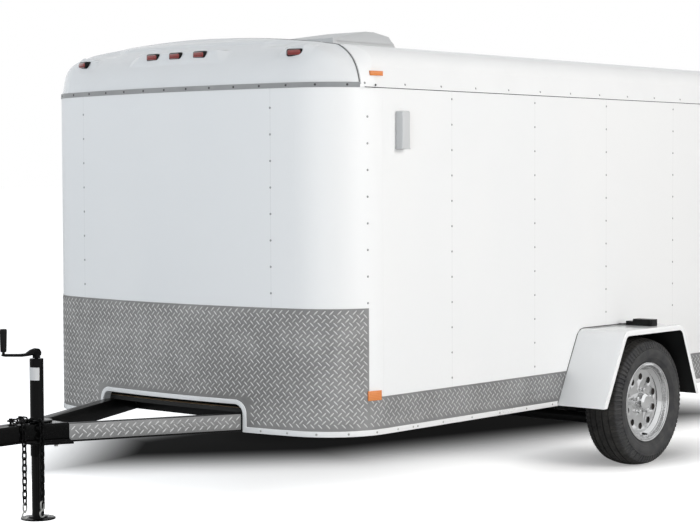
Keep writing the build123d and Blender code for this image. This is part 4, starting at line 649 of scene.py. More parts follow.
# ------------------------------------------------------------------ workbench
class Bench:
    """Modelling steps that the pieces share."""

    @staticmethod
    def clear() -> None:
        """Goes back to object mode and deselects everything."""
        if bpy.context.object and bpy.context.object.mode != "OBJECT":
            bpy.ops.object.mode_set(mode="OBJECT")
        bpy.ops.object.select_all(action="DESELECT")

    @staticmethod
    def rename(piece: Piece, name: str) -> Piece:
        """Gives a piece and its mesh a name."""
        piece.name = piece.data.name = name
        return piece

    @staticmethod
    def settle(name: str) -> Piece:
        """Names the active object and applies its place, turn and scale.

        Args:
            name: its name.

        Returns:
            The piece.
        """
        piece = Bench.rename(bpy.context.view_layer.objects.active, name)
        bpy.ops.object.transform_apply(location=True, rotation=True, scale=True)
        return piece

    @staticmethod
    def take(piece: Piece) -> Piece:
        """Makes a piece the only selected and active one.

        Args:
            piece: the piece.

        Returns:
            The same piece.
        """
        Bench.clear()
        piece.select_set(True)
        bpy.context.view_layer.objects.active = piece
        return piece

    @staticmethod
    @contextmanager
    def editing() -> Iterator[None]:
        """Edit mode on the active piece, all of it selected, for one with block.

        Yields:
            Nothing; the steps in the block work on the mesh.
        """
        bpy.ops.object.mode_set(mode="EDIT")
        bpy.ops.mesh.select_all(action="SELECT")
        yield
        bpy.ops.object.mode_set(mode="OBJECT")

    @staticmethod
    def face_out() -> None:
        """Selects the whole piece in edit mode and turns its faces outwards."""
        bpy.ops.mesh.select_all(action="SELECT")
        bpy.ops.mesh.normals_make_consistent(inside=False)

    @staticmethod
    def modify(piece: Piece, kind: str, **settings: float | str | bool) -> Piece:
        """Adds a modifier of a kind with its settings and applies it.

        Args:
            piece: the piece.
            kind: the modifier's type.
            settings: the modifier's own properties.

        Returns:
            The same piece.
        """
        Bench.take(piece)
        made = piece.modifiers.new("step", kind)
        for name, value in settings.items():
            setattr(made, name, value)
        bpy.ops.object.modifier_apply(modifier=made.name)
        return piece

    @staticmethod
    def box(name: str, low: Sequence[float], high: Sequence[float], width: float,
            segments: int = 2) -> Piece:
        """A block between two corners, with rounded edges.

        Args:
            name: its name.
            low: its lower corner.
            high: its upper corner.
            width: how far its edges are rounded.
            segments: facets over the rounding.

        Returns:
            The block.
        """
        Bench.clear()
        middle = [(a + b) / 2 for a, b in zip(low, high)]
        size = [b - a for a, b in zip(low, high)]
        bpy.ops.mesh.primitive_cube_add(size=1.0, location=middle, scale=size)
        return Bench.bevel(Bench.settle(name), width, segments)

    @staticmethod
    def chain(name: str, points: Iterable[Spot]) -> Piece:
        """A run of edges through points, drawn by extruding one vertex.

        Args:
            name: its name.
            points: the points in order.

        Returns:
            The run.
        """
        Bench.clear()
        points = [Vector(point) for point in points]
        bpy.ops.mesh.primitive_plane_add(size=0.01, location=points[0])
        piece = Bench.settle(name)
        with Bench.editing():
            bpy.ops.mesh.merge(type="CENTER")
            for start, end in zip(points, points[1:]):
                bpy.ops.mesh.extrude_region_move(TRANSFORM_OT_translate={"value": end - start})
        return piece

    @staticmethod
    def lathe(name: str, points: Iterable[Spot], centre: Spot, axis: Spot, steps: int) -> Piece:
        """Spins a profile right round an axis.

        Args:
            name: the piece's name.
            points: the profile in space; a point on the axis closes the form.
            centre: a point on the axis.
            axis: the axis' direction.
            steps: facets round the form.

        Returns:
            The closed or open round form, its faces pointing outwards.
        """
        piece = Bench.chain(name, points)
        with Bench.editing():
            bpy.ops.mesh.spin(steps=steps, angle=math.tau, center=centre, axis=axis)
            bpy.ops.mesh.select_all(action="SELECT")
            bpy.ops.mesh.remove_doubles(threshold=WELD)
            Bench.face_out()
        return piece

    @staticmethod
    def sweep(name: str, line: Iterable[Spot], run: Spot, filled: bool = True) -> Piece:
        """Extrudes a line along run.

        Args:
            name: the piece's name.
            line: the line's points.
            run: how far and which way it goes.
            filled: whether the line bounds a face, which gives a closed form; else it is a sheet.

        Returns:
            The form or the sheet.
        """
        piece = Bench.chain(name, line)
        with Bench.editing():
            if filled:
                bpy.ops.mesh.edge_face_add()
            bpy.ops.mesh.extrude_region_move(TRANSFORM_OT_translate={"value": run})
            Bench.face_out()
        return piece

    @staticmethod
    def dome(name: str, size: Spot, rings: int, cut: float, filled: bool) -> Piece:
        """The upper part of a stretched ball on the XY plane.

        Args:
            name: its name.
            size: the ball's half lengths.
            rings: facets from pole to pole.
            cut: where the ball is cut, as a share of its half height.
            filled: whether the cut is closed.

        Returns:
            The dome.
        """
        Bench.clear()
        bpy.ops.mesh.primitive_uv_sphere_add(segments=8, ring_count=rings, radius=1.0)
        piece = Bench.settle(name)
        with Bench.editing():
            bpy.ops.mesh.bisect(
                plane_co=(0, 0, cut), plane_no=(0, 0, 1), clear_inner=True, use_fill=filled
            )
        piece.data.transform(Matrix.Diagonal((*size, 1)))
        return piece

    @staticmethod
    def bevel(piece: Piece, width: float, segments: int = 2, angle: float = 30.0) -> Piece:
        """Rounds the edges of a piece and shades it smooth between them.

        Args:
            piece: the piece.
            width: how far the rounding reaches from each edge.
            segments: facets over the rounding.
            angle: only edges sharper than this are rounded.

        Returns:
            The same piece.
        """
        Bench.modify(piece, "BEVEL", width=width, segments=segments, limit_method="ANGLE",
                     angle_limit=math.radians(angle), use_clamp_overlap=True)
        return Bench.smooth(piece)

    @staticmethod
    def smooth(piece: Piece, angle: float = 35.0) -> Piece:
        """Shades a piece smooth except over edges sharper than angle.

        Args:
            piece: the piece.
            angle: edges sharper than this stay sharp.

        Returns:
            The same piece.
        """
        Bench.take(piece)
        bpy.ops.object.shade_smooth_by_angle(angle=math.radians(angle))
        return piece

    @staticmethod
    def thicken(piece: Piece, thickness: float, offset: float = -1.0) -> Piece:
        """Gives a sheet its thickness, inwards unless offset is 1."""
        return Bench.modify(piece, "SOLIDIFY", thickness=thickness, offset=offset)

    @staticmethod
    def join(name: str, pieces: Sequence[Piece]) -> Piece:
        """Joins pieces into one object.

        Args:
            name: the joined piece's name.
            pieces: the pieces; the first takes in the others.

        Returns:
            The joined piece.
        """
        Bench.clear()
        for piece in pieces:
            piece.select_set(True)
        bpy.context.view_layer.objects.active = pieces[0]
        bpy.ops.object.join()
        return Bench.rename(pieces[0], name)

    @staticmethod
    def on_side(piece: Piece, sign: int) -> Piece:
        """Mirrors a road-side piece to the kerb side where sign is negative.

        Args:
            piece: the road-side piece.
            sign: 1 for the road side, -1 for the kerb side.

        Returns:
            The same piece.
        """
        if sign < 0:
            piece.data.transform(MIRROR)
            piece.data.flip_normals()
        return piece

    @staticmethod
    def pair(name: str, make: Callable[[str], Piece]) -> Piece:
        """Joins a road-side piece and its mirror image.

        Args:
            name: the pair's name.
            make: makes the road-side piece under a given name.

        Returns:
            The pair.
        """
        halves = [Bench.on_side(make(f"{side}_{name}"), sign) for side, sign in SIDES]
        return Bench.join(name, halves)

    @staticmethod
    def copies(name: str, model: Piece, places: Sequence[Matrix]) -> Piece:
        """Copies a model to many places in one mesh, and removes the model.

        Args:
            name: the new piece's name.
            model: the piece that is repeated.
            places: one matrix for each copy.

        Returns:
            The piece that holds all the copies.
        """
        source = model.data
        count = len(source.vertices)
        points = np.empty(count * 3)
        source.vertices.foreach_get("co", points)
        points = np.c_[points.reshape(-1, 3), np.ones(count)]
        faces = [tuple(face.vertices) for face in source.polygons]
        stack = np.concatenate([points @ np.array(place).T for place in places])[:, :3]
        starts = range(0, count * len(places), count)
        spread = [tuple(corner + start for corner in face) for start in starts for face in faces]
        mesh = bpy.data.meshes.new(name)
        mesh.from_pydata(stack.tolist(), [], spread)
        mesh.update()
        made = bpy.data.objects.new(name, mesh)
        bpy.context.collection.objects.link(made)
        bpy.data.objects.remove(model)
        LOG.info("%s: %d copies", name, len(places))
        return Bench.smooth(made, 50.0)

    @staticmethod
    def softened(node: str, width: float, segments: int, angle: float) -> Piece:
        """A merged copy of a solid with its edges rounded, standing for that solid.

        Args:
            node: the solid's name.
            width: how far the rounding reaches from each edge.
            segments: facets over the rounding.
            angle: only edges sharper than this are rounded.

        Returns:
            The rounded piece.
        """
        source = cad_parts[node]
        made = source.copy()
        made.data = source.data.copy()
        made.name = f"{node}_formed"
        made.parent = None
        bpy.context.collection.objects.link(made)
        Bench.take(made)
        with Bench.editing():
            bpy.ops.mesh.remove_doubles(threshold=WELD)
            bpy.ops.mesh.dissolve_limited(angle_limit=math.radians(0.6))
        made.data.materials.clear()
        if made.data.has_custom_normals:
            bpy.ops.mesh.customdata_custom_splitnormals_clear()
        Bench.bevel(made, width, segments, angle)
        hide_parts(node)
        return made

    @staticmethod
    def islands(node: str) -> list[np.ndarray]:
        """Corner points of each separate solid in a node.

        Args:
            node: the node's name.

        Returns:
            One array of points for each solid.
        """
        work = bmesh.new()
        work.from_mesh(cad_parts[node].data)
        bmesh.ops.remove_doubles(work, verts=work.verts, dist=WELD)
        seen: set = set()
        found = []
        for vertex in work.verts:
            if vertex in seen:
                continue
            stack, group = [vertex], []
            seen.add(vertex)
            while stack:
                here = stack.pop()
                group.append(tuple(here.co))
                for edge in here.link_edges:
                    other = edge.other_vert(here)
                    if other not in seen:
                        seen.add(other)
                        stack.append(other)
            found.append(np.array(group))
        work.free()
        return found


class Skin:
    """Outer surface of a solid that pieces are laid on."""

    def __init__(self, node: str) -> None:
        """Reads the solid's faces.

        Args:
            node: the solid's name.
        """
        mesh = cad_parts[node].data
        corners = [vertex.co.copy() for vertex in mesh.vertices]
        faces = [tuple(face.vertices) for face in mesh.polygons]
        self.tree = BVHTree.FromPolygons(corners, faces)

    def last(self, start: Sequence[float], direction: Sequence[float]) -> tuple[Vector, Vector]:
        """Last point and normal that a ray meets on its way out.

        Args:
            start: where the ray starts.
            direction: which way it goes.

        Returns:
            The point and the normal, each None where nothing is met.
        """
        run = Vector(direction).normalized()
        point, normal, _, _ = self.tree.ray_cast(Vector(start) + run * FAR, -run)
        return point, normal


def ramp(value: float, low: float, high: float) -> float:
    """Straight step from 0 at low to 1 at high."""
    return min(max((value - low) / (high - low), 0.0), 1.0)


def rise(value: float, low: float, high: float) -> float:
    """Smooth step from 0 at low to 1 at high."""
    part = ramp(value, low, high)
    return part * part * (3 - 2 * part)


def facing(place: Sequence[float], angle: float, spin: float = 0.0) -> Matrix:
    """Matrix of a piece that stands on an upright face.

    Args:
        place: where it stands.
        angle: the face's outward direction, from -Y towards +X.
        spin: the piece's turn about that direction.

    Returns:
        A matrix whose Z looks outwards and, without spin, whose Y points up.
    """
    turn = Matrix.Rotation(angle, 4, "Z") @ Matrix.Rotation(RIGHT_ANGLE, 4, "X")
    return Matrix.Translation(place) @ turn @ Matrix.Rotation(spin, 4, "Z")


@dataclass(frozen=True)
class PlanLine:
    """Outline of the body from above, measured along from the middle of the bowed front."""

    bow_radius: float = 3.630
    bow_y: float = -2.107
    corner: float = 0.298

    @property
    def corner_x(self) -> float:
        """X of the corner arc's centre."""
        return HALF_WIDTH - self.corner

    @property
    def lean(self) -> float:
        """Half angle of the bow."""
        return math.asin(self.corner_x / (self.bow_radius - self.corner))

    @property
    def bow_centre(self) -> float:
        """Y of the bow's centre."""
        return self.bow_y + self.bow_radius

    @property
    def corner_y(self) -> float:
        """Y of the corner arc's centre, where the straight side starts."""
        return self.bow_centre - (self.bow_radius - self.corner) * math.cos(self.lean)

    def at(self, run: float, out: float = 0.0) -> tuple[Vector, float]:
        """A point on the outline.

        Args:
            run: distance along it, positive towards the road side.
            out: distance outside it.

        Returns:
            The point at zero height, and its outward direction's angle from -Y.
        """
        sign = 1 if run >= 0 else -1
        past_bow = abs(run) - self.bow_radius * self.lean
        past_corner = past_bow - self.corner * (RIGHT_ANGLE - self.lean)
        if past_bow <= 0:
            angle, reach = abs(run) / self.bow_radius, self.bow_radius + out
            x, y = reach * math.sin(angle), self.bow_centre - reach * math.cos(angle)
        elif past_corner <= 0:
            angle, reach = self.lean + past_bow / self.corner, self.corner + out
            x, y = self.corner_x + reach * math.sin(angle), self.corner_y - reach * math.cos(angle)
        else:
            angle = RIGHT_ANGLE
            x, y = HALF_WIDTH + out, self.corner_y + past_corner
        return Vector((sign * x, y, 0)), sign * angle

    def run_of(self, y: float) -> float:
        """Distance along the outline to a place on the corner or the side, by its Y.

        Args:
            y: the place's Y.

        Returns:
            The distance.
        """
        low, high = 0.0, 6.0
        while high - low > 1e-5:
            middle = (low + high) / 2
            if self.at(middle)[0].y < y:
                low = middle
            else:
                high = middle
        return low

    def frame_at(self, run: float, height: float, out: float, spin: float = 0.0) -> Matrix:
        """Matrix of a piece on the outline's face, as facing gives it.

        Args:
            run: distance along the outline.
            height: the piece's height.
            out: distance outside the outline.
            spin: the piece's turn about the outward direction.

        Returns:
            The matrix.
        """
        place, angle = self.at(run, out)
        place.z = height
        return facing(place, angle, spin)


PLAN = PlanLine()


# ------------------------------------------------------------------ studio
@dataclass(frozen=True)
class Softbox:
    """A square lamp that either lights the matt finishes or shines in the glossy ones."""

    name: str
    at: Spot
    aim: Spot
    size: float
    watts: float
    colour: Spot
    shines: bool = False

    def build(self) -> None:
        """Hangs the lamp at its place and aims it."""
        data = bpy.data.lights.new(self.name, "AREA")
        data.color = self.colour
        data.size = self.size
        data.energy = self.watts
        made = bpy.data.objects.new(self.name, data)
        made.location = self.at
        made.visible_diffuse = not self.shines
        made.visible_glossy = self.shines
        run = Vector(self.aim) - Vector(self.at)
        made.rotation_euler = run.to_track_quat("-Z", "Y").to_euler()
        bpy.context.collection.objects.link(made)


WARM, COOL = (1.0, 0.985, 0.96), (0.87, 0.94, 1.0)
SIDE_LAMP = ((11.5, -1.0, 4.2), (0.9, 0.0, 1.0), 6.0)
LAMPS = (
    Softbox("side_softbox", *SIDE_LAMP, 830.0, WARM),
    Softbox("side_gleam", *SIDE_LAMP, 300.0, WARM, True),
    Softbox("front_softbox", (-6.0, -10.0, 3.0), (0.0, -2.0, 1.0), 5.0, 340.0, COOL),
    Softbox("low_softbox", (5.5, -11.5, 1.3), (0.4, -1.2, 0.2), 3.0, 250.0, COOL),
    Softbox("top_softbox", (0.6, -3.6, 7.4), (0.2, -1.6, 1.9), 3.0, 50.0, COOL),
)


@dataclass
class Studio:
    """Camera, backdrop light, floor with its drawn shade, and lamps.

    A side of the shade is its lean along the trailer, its middle and its half width.
    """

    camera_at: Spot = (6.131, -7.954, 1.408)
    azimuth: float = 40.838
    pitch: float = 2.542
    roll: float = -0.227
    lens: float = 98.23
    sky: float = 0.57
    overhead: float = 0.35
    floor_size: float = 400.0
    floor_drop: float = 0.0005
    floor_level: float = 0.80
    floor_seen: float = 1.6
    floor_glow: float = 0.62
    floor_deep: float = 0.012
    shade_side: Spot = (0.24, -0.07, 1.028)
    shade_bow: Spot = (0.80, 0.33, 1.28)
    shade_left: float = -1.6
    shade_rear: float = 2.1
    rear_slope: float = 0.6
    front_x: float = 0.757
    front_y: float = 0.654
    wheel_x: float = 0.98
    wheel_y: float = 0.28
    wheel_stretch: float = 0.55
    wheel_reach: float = 1.5
    wheel_dark: float = 0.2

    def camera(self) -> None:
        """Stands the camera at its place."""
        made = bpy.data.objects.new("camera", bpy.data.cameras.new("camera"))
        made.data.lens = self.lens
        made.data.sensor_width = 36.0
        place = Matrix.Translation(self.camera_at)
        for degrees, axis in ((self.azimuth, "Z"), (90 - self.pitch, "X"), (self.roll, "Z")):
            place = place @ Matrix.Rotation(math.radians(degrees), 4, axis)
        made.matrix_world = place
        bpy.context.collection.objects.link(made)
        bpy.context.scene.camera = made

    def world(self) -> None:
        """Lights the set evenly and shows white behind it, also in gloss and glass."""
        made = bpy.data.worlds.new("backdrop")
        graph = Graph(made)
        seen = graph.ray("Is Camera Ray").greater(graph.ray("Is Transmission Ray"))
        mirrored = seen.greater(graph.ray("Is Glossy Ray"))
        dome = graph.axes("Generated")[2].rise(0.05, 0.75, 1.0, self.overhead, "LINEAR")
        strength = dome * self.sky * (1 - mirrored) + mirrored
        tint = graph.mix(seen, grey(0.99, -0.012), grey(1.0))
        back = graph.out("ShaderNodeBackground", None, {"Color": tint, "Strength": strength})
        graph.node("ShaderNodeOutputWorld", None, {"Surface": back})
        bpy.context.scene.world = made

    def shade(self, graph: Graph) -> Sock:
        """The floor's light under and round the trailer.

        Args:
            graph: the floor's graph.

        Returns:
            One in the open, near zero under the body.
        """
        across, along, _ = graph.axes()
        side, bow = (
            (across - along * lean - middle) / half
            for lean, middle, half in (self.shade_side, self.shade_bow)
        )
        ends = (self.shade_left - across).greater((along - self.shade_rear) * self.rear_slope)
        out = side.greater(bow).greater(ends).rise(-0.5, 0.55)
        front = 1 - (across * self.front_x + along * self.front_y).rise(-2.4, -1.6)
        beside, before = abs(across) - self.wheel_x, (along - self.wheel_y) * self.wheel_stretch
        wheel = (beside.hypot(before) * self.wheel_reach + self.wheel_dark).lesser(1.0)
        return (out * out).greater(front).greater(self.floor_deep) * wheel

    def floor(self) -> None:
        """Lays a white floor that catches shadows and carries a drawn shade for the camera."""
        Bench.clear()
        place = (0, 0, -self.floor_drop)
        bpy.ops.mesh.primitive_plane_add(size=self.floor_size, location=place)
        floor = Bench.settle("floor_sheet")
        material = bpy.data.materials.new("floor_white")
        graph = Graph(material)
        seen = graph.ray("Is Camera Ray")
        light = self.shade(graph)
        shown = graph.mix(light, grey(0.0), grey(self.floor_seen))
        graph.surface(
            Base_Color=graph.mix(seen, grey(self.floor_level), shown),
            Roughness=1.0,
            Specular_IOR_Level=0.0,
            Emission_Color=graph.mix(light * seen, grey(0.0), grey(self.floor_glow)),
            Emission_Strength=1.0,
        )
        floor.data.materials.append(material)

    def build(self) -> None:
        """Sets up the whole studio."""
        self.camera()
        self.world()
        self.floor()
        for lamp in LAMPS:
            lamp.build()
        bpy.context.scene.view_settings.view_transform = "Standard"
        LOG.info("studio: %d lamps", len(LAMPS))


# ------------------------------------------------------------------ small fixings
@dataclass(frozen=True)
class Fixings:
    """Screw heads of walls, trims and roof, one model copied along rows."""

    size: Spot = (0.0052, 0.0052, 0.0018)
    columns: tuple[float, ...] = (-1.269, -0.638, -0.035, 0.586, 1.2)
    column_foot: float = 0.52
    column_head: float = 1.77
    fender_span: tuple[float, float] = (-0.46, 0.41)
    fender_head: float = 0.70
    door_head: float = 1.71
    corner_y: float = -1.83
    corner_foot: float = 0.88
    joint_run: float = 0.594
    joint_foot: float = 0.92
    flange_height: float = 1.805
    trim_height: float = 1.797
    trim_end: float = 1.08
    skirt_end: float = 1.35
    pitch: float = 0.112
    trim_pitch: float = 0.135
    roof_pitch: float = 0.25
    skirt_pitch: float = 0.21

    def row(self, name: str, places: Sequence[Matrix], finish: Finishes) -> None:
        """Copies the head to places on the trailer."""
        model = Bench.dome("head_model", self.size, 6, -0.05, True)
        finish.fit(Bench.copies(name, model, places))

    @staticmethod
    def on_wall(x: float, y: float, z: float) -> Matrix:
        """Matrix of a head on a side wall; the sign of x tells the side."""
        turn = Matrix.Rotation(math.copysign(RIGHT_ANGLE, x), 4, "Y")
        return Matrix.Translation((x, y, z)) @ turn

    def walls(self) -> list[Matrix]:
        """Columns down the side walls and the front wall, clear of fenders and side door.

        Returns:
            One matrix for each head.
        """
        places = []
        for y in self.columns:
            for z in np.arange(self.column_foot, self.column_head, self.pitch):
                if self.fender_span[0] < y < self.fender_span[1] and z < self.fender_head:
                    continue
                door = DOOR_FRONT < y < DOOR_REAR and z < self.door_head
                places += [self.on_wall(sign * HALF_WIDTH, y, z)
                           for _, sign in SIDES if sign > 0 or not door]
        corner = PLAN.run_of(self.corner_y)
        for _, sign in SIDES:
            for run, foot in ((corner, self.corner_foot), (self.joint_run, self.joint_foot)):
                places += [PLAN.frame_at(sign * run, z, 0.0)
                           for z in np.arange(foot, self.column_head, self.pitch)]
        return places

    def roof(self) -> list[Matrix]:
        """Rows along the roof's flanges, square to its skin.

        Returns:
            One matrix for each head.
        """
        skin = Skin("roof")
        places = []
        for y in np.arange(-1.84, 1.45, self.roof_pitch):
            for _, sign in SIDES:
                point, normal = skin.last((0, y, self.flange_height), (sign, 0, 0))
                turn = Vector((0, 0, 1)).rotation_difference(normal).to_matrix().to_4x4()
                places.append(Matrix.Translation(point) @ turn)
        return places

    def skirt(self) -> list[Matrix]:
        """Rows along the lower trim, clear of the tongue and the wheels.

        Returns:
            One matrix for each head.
        """
        places = [PLAN.frame_at(run, SKIRT_FOOT, 0.005)
                  for run in np.arange(-self.skirt_end, self.skirt_end + 0.01, self.trim_pitch)
                  if abs(PLAN.at(run)[0].x) > OPENING_HALF + 0.002]
        for start, end in ((-1.55, -0.47), (0.47, 1.45)):
            for y in np.arange(start, end, self.skirt_pitch):
                places += [self.on_wall(sign * 0.955, y, SKIRT_FOOT) for _, sign in SIDES]
        return places

    def build(self) -> None:
        """Lays every row."""
        runs = np.arange(-self.trim_end, self.trim_end + 0.01, self.trim_pitch)
        trim = [PLAN.frame_at(run, self.trim_height, 0.0023) for run in runs]
        self.row("wall_screws", self.walls(), Finishes.SCREW)
        self.row("front_trim_screws", trim, Finishes.TRIM_SCREW)
        self.row("roof_flange_screws", self.roof(), Finishes.SCREW)
        self.row("lower_trim_screws", self.skirt(), Finishes.ZINC)


# ------------------------------------------------------------------ tread plate
@dataclass(frozen=True)
class TreadPlate:
    """Raised bars of the aluminium tread plate on every clad surface, coloured brighter than the sheet as a
    painted highlight.
    """

    pitch: float = 0.0330
    bar: Spot = (0.0136, 0.0030, 0.0013)
    margin: float = 0.009
    gap: float = 0.008
    out: float = 0.0022
    guard_rear: float = -1.828
    guard_head: float = 0.858
    bands: tuple[tuple[float, float], ...] = ((-1.828, -0.374), (0.341, 1.489))
    kick: tuple[float, float] = (-1.56, -0.748)
    tongue_front: float = -2.7767
    tongue_rear: float = -2.0907

    def span(self, low: float, high: float) -> range:
        """Numbers of the lattice lines that cover a stretch."""
        return range(math.floor(low / self.pitch) - 1, math.ceil(high / self.pitch) + 2)

    def lattice(self, low: float, high: float, foot: float, head: float) -> Iterator[Spot]:
        """Places of the bars over a rectangle, the two leans by turns.

        Args:
            low: where the rectangle starts.
            high: where it ends.
            foot: its lower edge.
            head: its upper edge.

        Yields:
            The run, the height and the lean of each bar.
        """
        edge = self.margin
        for column in self.span(low, high):
            for row in self.span(foot, head):
                for half, lean in ((0.0, -RIGHT_ANGLE / 2), (0.5, RIGHT_ANGLE / 2)):
                    run, height = (column + half) * self.pitch, (row + half) * self.pitch
                    if low + edge < run < high - edge and foot + edge < height < head - edge:
                        yield run, height, lean

    @staticmethod
    def fender_line(height: float) -> tuple[float, float]:
        """Where the fender's front and rear slopes meet the wall at a height."""
        return -0.456 + 0.518 * (height - 0.320), 0.408 - 0.421 * (height - 0.320)

    def lay(self, name: str, places: Sequence[Matrix], body: str = "trailer") -> None:
        """Lays bars at places and makes them ride on a body."""
        model = Bench.dome("bar_model", self.bar, 4, -0.1, False)
        # The bar finish carries a painted highlight: the sheet's aluminium made about twice as bright.
        Finishes.TREAD_BARS.fit(Bench.copies(name, model, places), body)

    def lay_guard(self) -> None:
        """Covers the stone guard except at the tongue's opening."""
        edge = PLAN.run_of(self.guard_rear)
        self.lay("guard_bars", [
            PLAN.frame_at(run, height, self.out, lean)
            for run, height, lean in self.lattice(-edge, edge, BAND_FOOT, self.guard_head)
            if abs(PLAN.at(run)[0].x) >= OPENING_HALF or height >= OPENING_HEAD
        ])

    def fill_ends(self) -> None:
        """Fills the bands out to the fender's slanted edges."""
        ends = []
        for index, start in enumerate((-0.4563, 0.4083)):
            foot, head = (self.fender_line(height)[index] for height in (BAND_FOOT, BAND_HEAD))
            line = ((start, BAND_FOOT), (foot, BAND_FOOT), (head, BAND_HEAD), (start, BAND_HEAD))
            outline = [(HALF_WIDTH + OFF_WALL, y, z) for y, z in line]
            ends += [Bench.on_side(Bench.sweep(f"{side}_end", outline, (0.0020, 0, 0)), sign)
                     for side, sign in SIDES]
        Finishes.TREAD_SHEET.fit(Bench.join("side_band_ends", ends))

    def lay_bands(self) -> None:
        """Covers the side bands between fenders, side door and corners."""
        places = []
        for front, rear in self.bands:
            low, high = PLAN.run_of(front), PLAN.run_of(rear)
            for run, height, lean in self.lattice(low, high, BAND_FOOT, BAND_HEAD):
                y = PLAN.at(run)[0].y
                fender = self.fender_line(height)
                if fender[0] - self.gap < y < fender[1] + self.gap:
                    continue
                places.append(PLAN.frame_at(run, height, self.out, lean))
                if not (DOOR_FRONT < y < DOOR_REAR and height > 0.41):
                    places.append(PLAN.frame_at(-run, height, self.out, lean))
        self.lay("side_band_bars", places)

    def lay_kick(self) -> None:
        """Covers the side door's kick strip."""
        low, high = (PLAN.run_of(y) for y in self.kick)
        self.lay("kick_strip_bars", [
            PLAN.frame_at(-run, height, self.out, lean)
            for run, height, lean in self.lattice(low, high, 0.430, BAND_HEAD)
        ], "side_door")

    def lay_tongue(self) -> None:
        """Covers the plates on the tongue's sides."""
        start = Vector((TONGUE_REAR_X, self.tongue_front, 0.0))
        ahead = Vector((math.sin(TONGUE_SLOPE), math.cos(TONGUE_SLOPE), 0))
        length = (self.tongue_rear - self.tongue_front) / math.cos(TONGUE_SLOPE)
        places = []
        for run, height, lean in self.lattice(0.0, length, SKIRT_FOOT, 0.397):
            place = start + ahead * run
            place.z = height
            places.append(facing(place, RIGHT_ANGLE - TONGUE_SLOPE, lean))
        places += [MIRROR @ place @ MIRROR for place in places]
        self.lay("tongue_plate_bars", places)

    def build(self) -> None:
        """Covers the stone guard, the side bands, the kick strip and the tongue's plates."""
        self.lay_guard()
        self.fill_ends()
        self.lay_bands()
        self.lay_kick()
        self.lay_tongue()
        Finishes.TREAD_SHEET.carry("stone_guard", "side_bands")


# ------------------------------------------------------------------ nose cap
@dataclass(frozen=True)
class NoseCap:
    """Moulded front cap with a brow, a lamp panel and a hollow round each corner lamp."""

    foot_z: float = 1.7885
    inset: float = 0.0006
    spine: float = 0.62
    fan: float = 0.62
    columns: int = 300
    rows: int = 56
    panel: float = 0.020
    boss: float = 0.015
    brow: float = 0.006
    dip: float = 0.008
    bulge: float = 0.020
    wall: float = 0.004

    def relief(self, point: Vector) -> float:
        """Distance that the moulding moves a point of the plain cap outwards.

        Args:
            point: the point.

        Returns:
            The distance, negative inwards.
        """
        x, y, z = abs(point.x), point.y, point.z
        front = 1 - rise(y, -1.93, -1.88)
        rising = ramp(z, 1.908, 1.948)
        stand = rising * (1 - ramp(z, 1.953, 1.965))
        panel = ramp(0.300 - x, 0.0, 0.018 + 0.045 * rising) * stand
        boss = ramp(x, 0.580, 0.615) * (1 - ramp(x, 0.700, 0.745)) * stand
        brow = (1 - rise(x, 0.42, 0.58)) * rise(z, 1.982, 1.994) * (1 - rise(z, 2.000, 2.020))
        dip = rise(x, 0.44, 0.50) * (1 - rise(x, 0.54, 0.62)) * rise(z, 1.960, 1.990)
        bulge = rise(x, 0.60, 0.80) * rise(z, 1.82, 1.93) * (1 - rise(y, -1.945, -1.875))
        raised = self.panel * panel + self.boss * boss + self.brow * brow - self.dip * dip
        return front * raised + self.bulge * bulge

    def lay(self, piece: Piece) -> None:
        """Lays a flat grid on the plain cap, fanned out from a spine along its rear foot.

        Args:
            piece: the grid, two units wide, on the XY plane.
        """
        skin = Skin("nose_cap")
        for vertex in piece.data.vertices:
            run = vertex.co.x * (self.spine + self.fan)
            across = max(-self.spine, min(self.spine, run))
            turn = (run - across) / self.fan * RIGHT_ANGLE
            level = (vertex.co.y + 1) / 2 * RIGHT_ANGLE
            flat = math.cos(level)
            ray = Vector((math.sin(turn) * flat, -math.cos(turn) * flat, math.sin(level)))
            start = Vector((across, SEAM_Y - self.inset, self.foot_z + self.inset)) + ray * 0.04
            point, _ = skin.last(start, ray)
            if point is None:
                point, _ = skin.last(start + Vector((0, -0.002, 0.001)), ray)
            vertex.co = point

    def mould(self, piece: Piece) -> None:
        """Presses the relief into the plain sheet and gives it its thickness.

        Args:
            piece: the laid sheet.
        """
        Bench.take(piece)
        with Bench.editing():
            bpy.ops.mesh.remove_doubles(threshold=0.0002)
            bpy.ops.mesh.normals_make_consistent(inside=False)
        piece.data.update()
        outward = [vertex.normal.copy() for vertex in piece.data.vertices]
        sense = 1 if sum(-normal.y for normal in outward) > 0 else -1
        for vertex, normal in zip(piece.data.vertices, outward):
            vertex.co += normal * (self.relief(vertex.co) * sense)
        Bench.thicken(piece, self.wall * sense)
        Bench.smooth(piece, 50.0)

    def build(self) -> None:
        """Shapes the cap from a grid laid over the solid."""
        Bench.clear()
        bpy.ops.mesh.primitive_grid_add(
            x_subdivisions=self.columns, y_subdivisions=self.rows, size=2.0, location=(0, 0, 0)
        )
        piece = Bench.settle("nose_cap_moulding")
        self.lay(piece)
        self.mould(piece)
        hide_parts("nose_cap")
        Finishes.GEL_COAT.fit(piece)


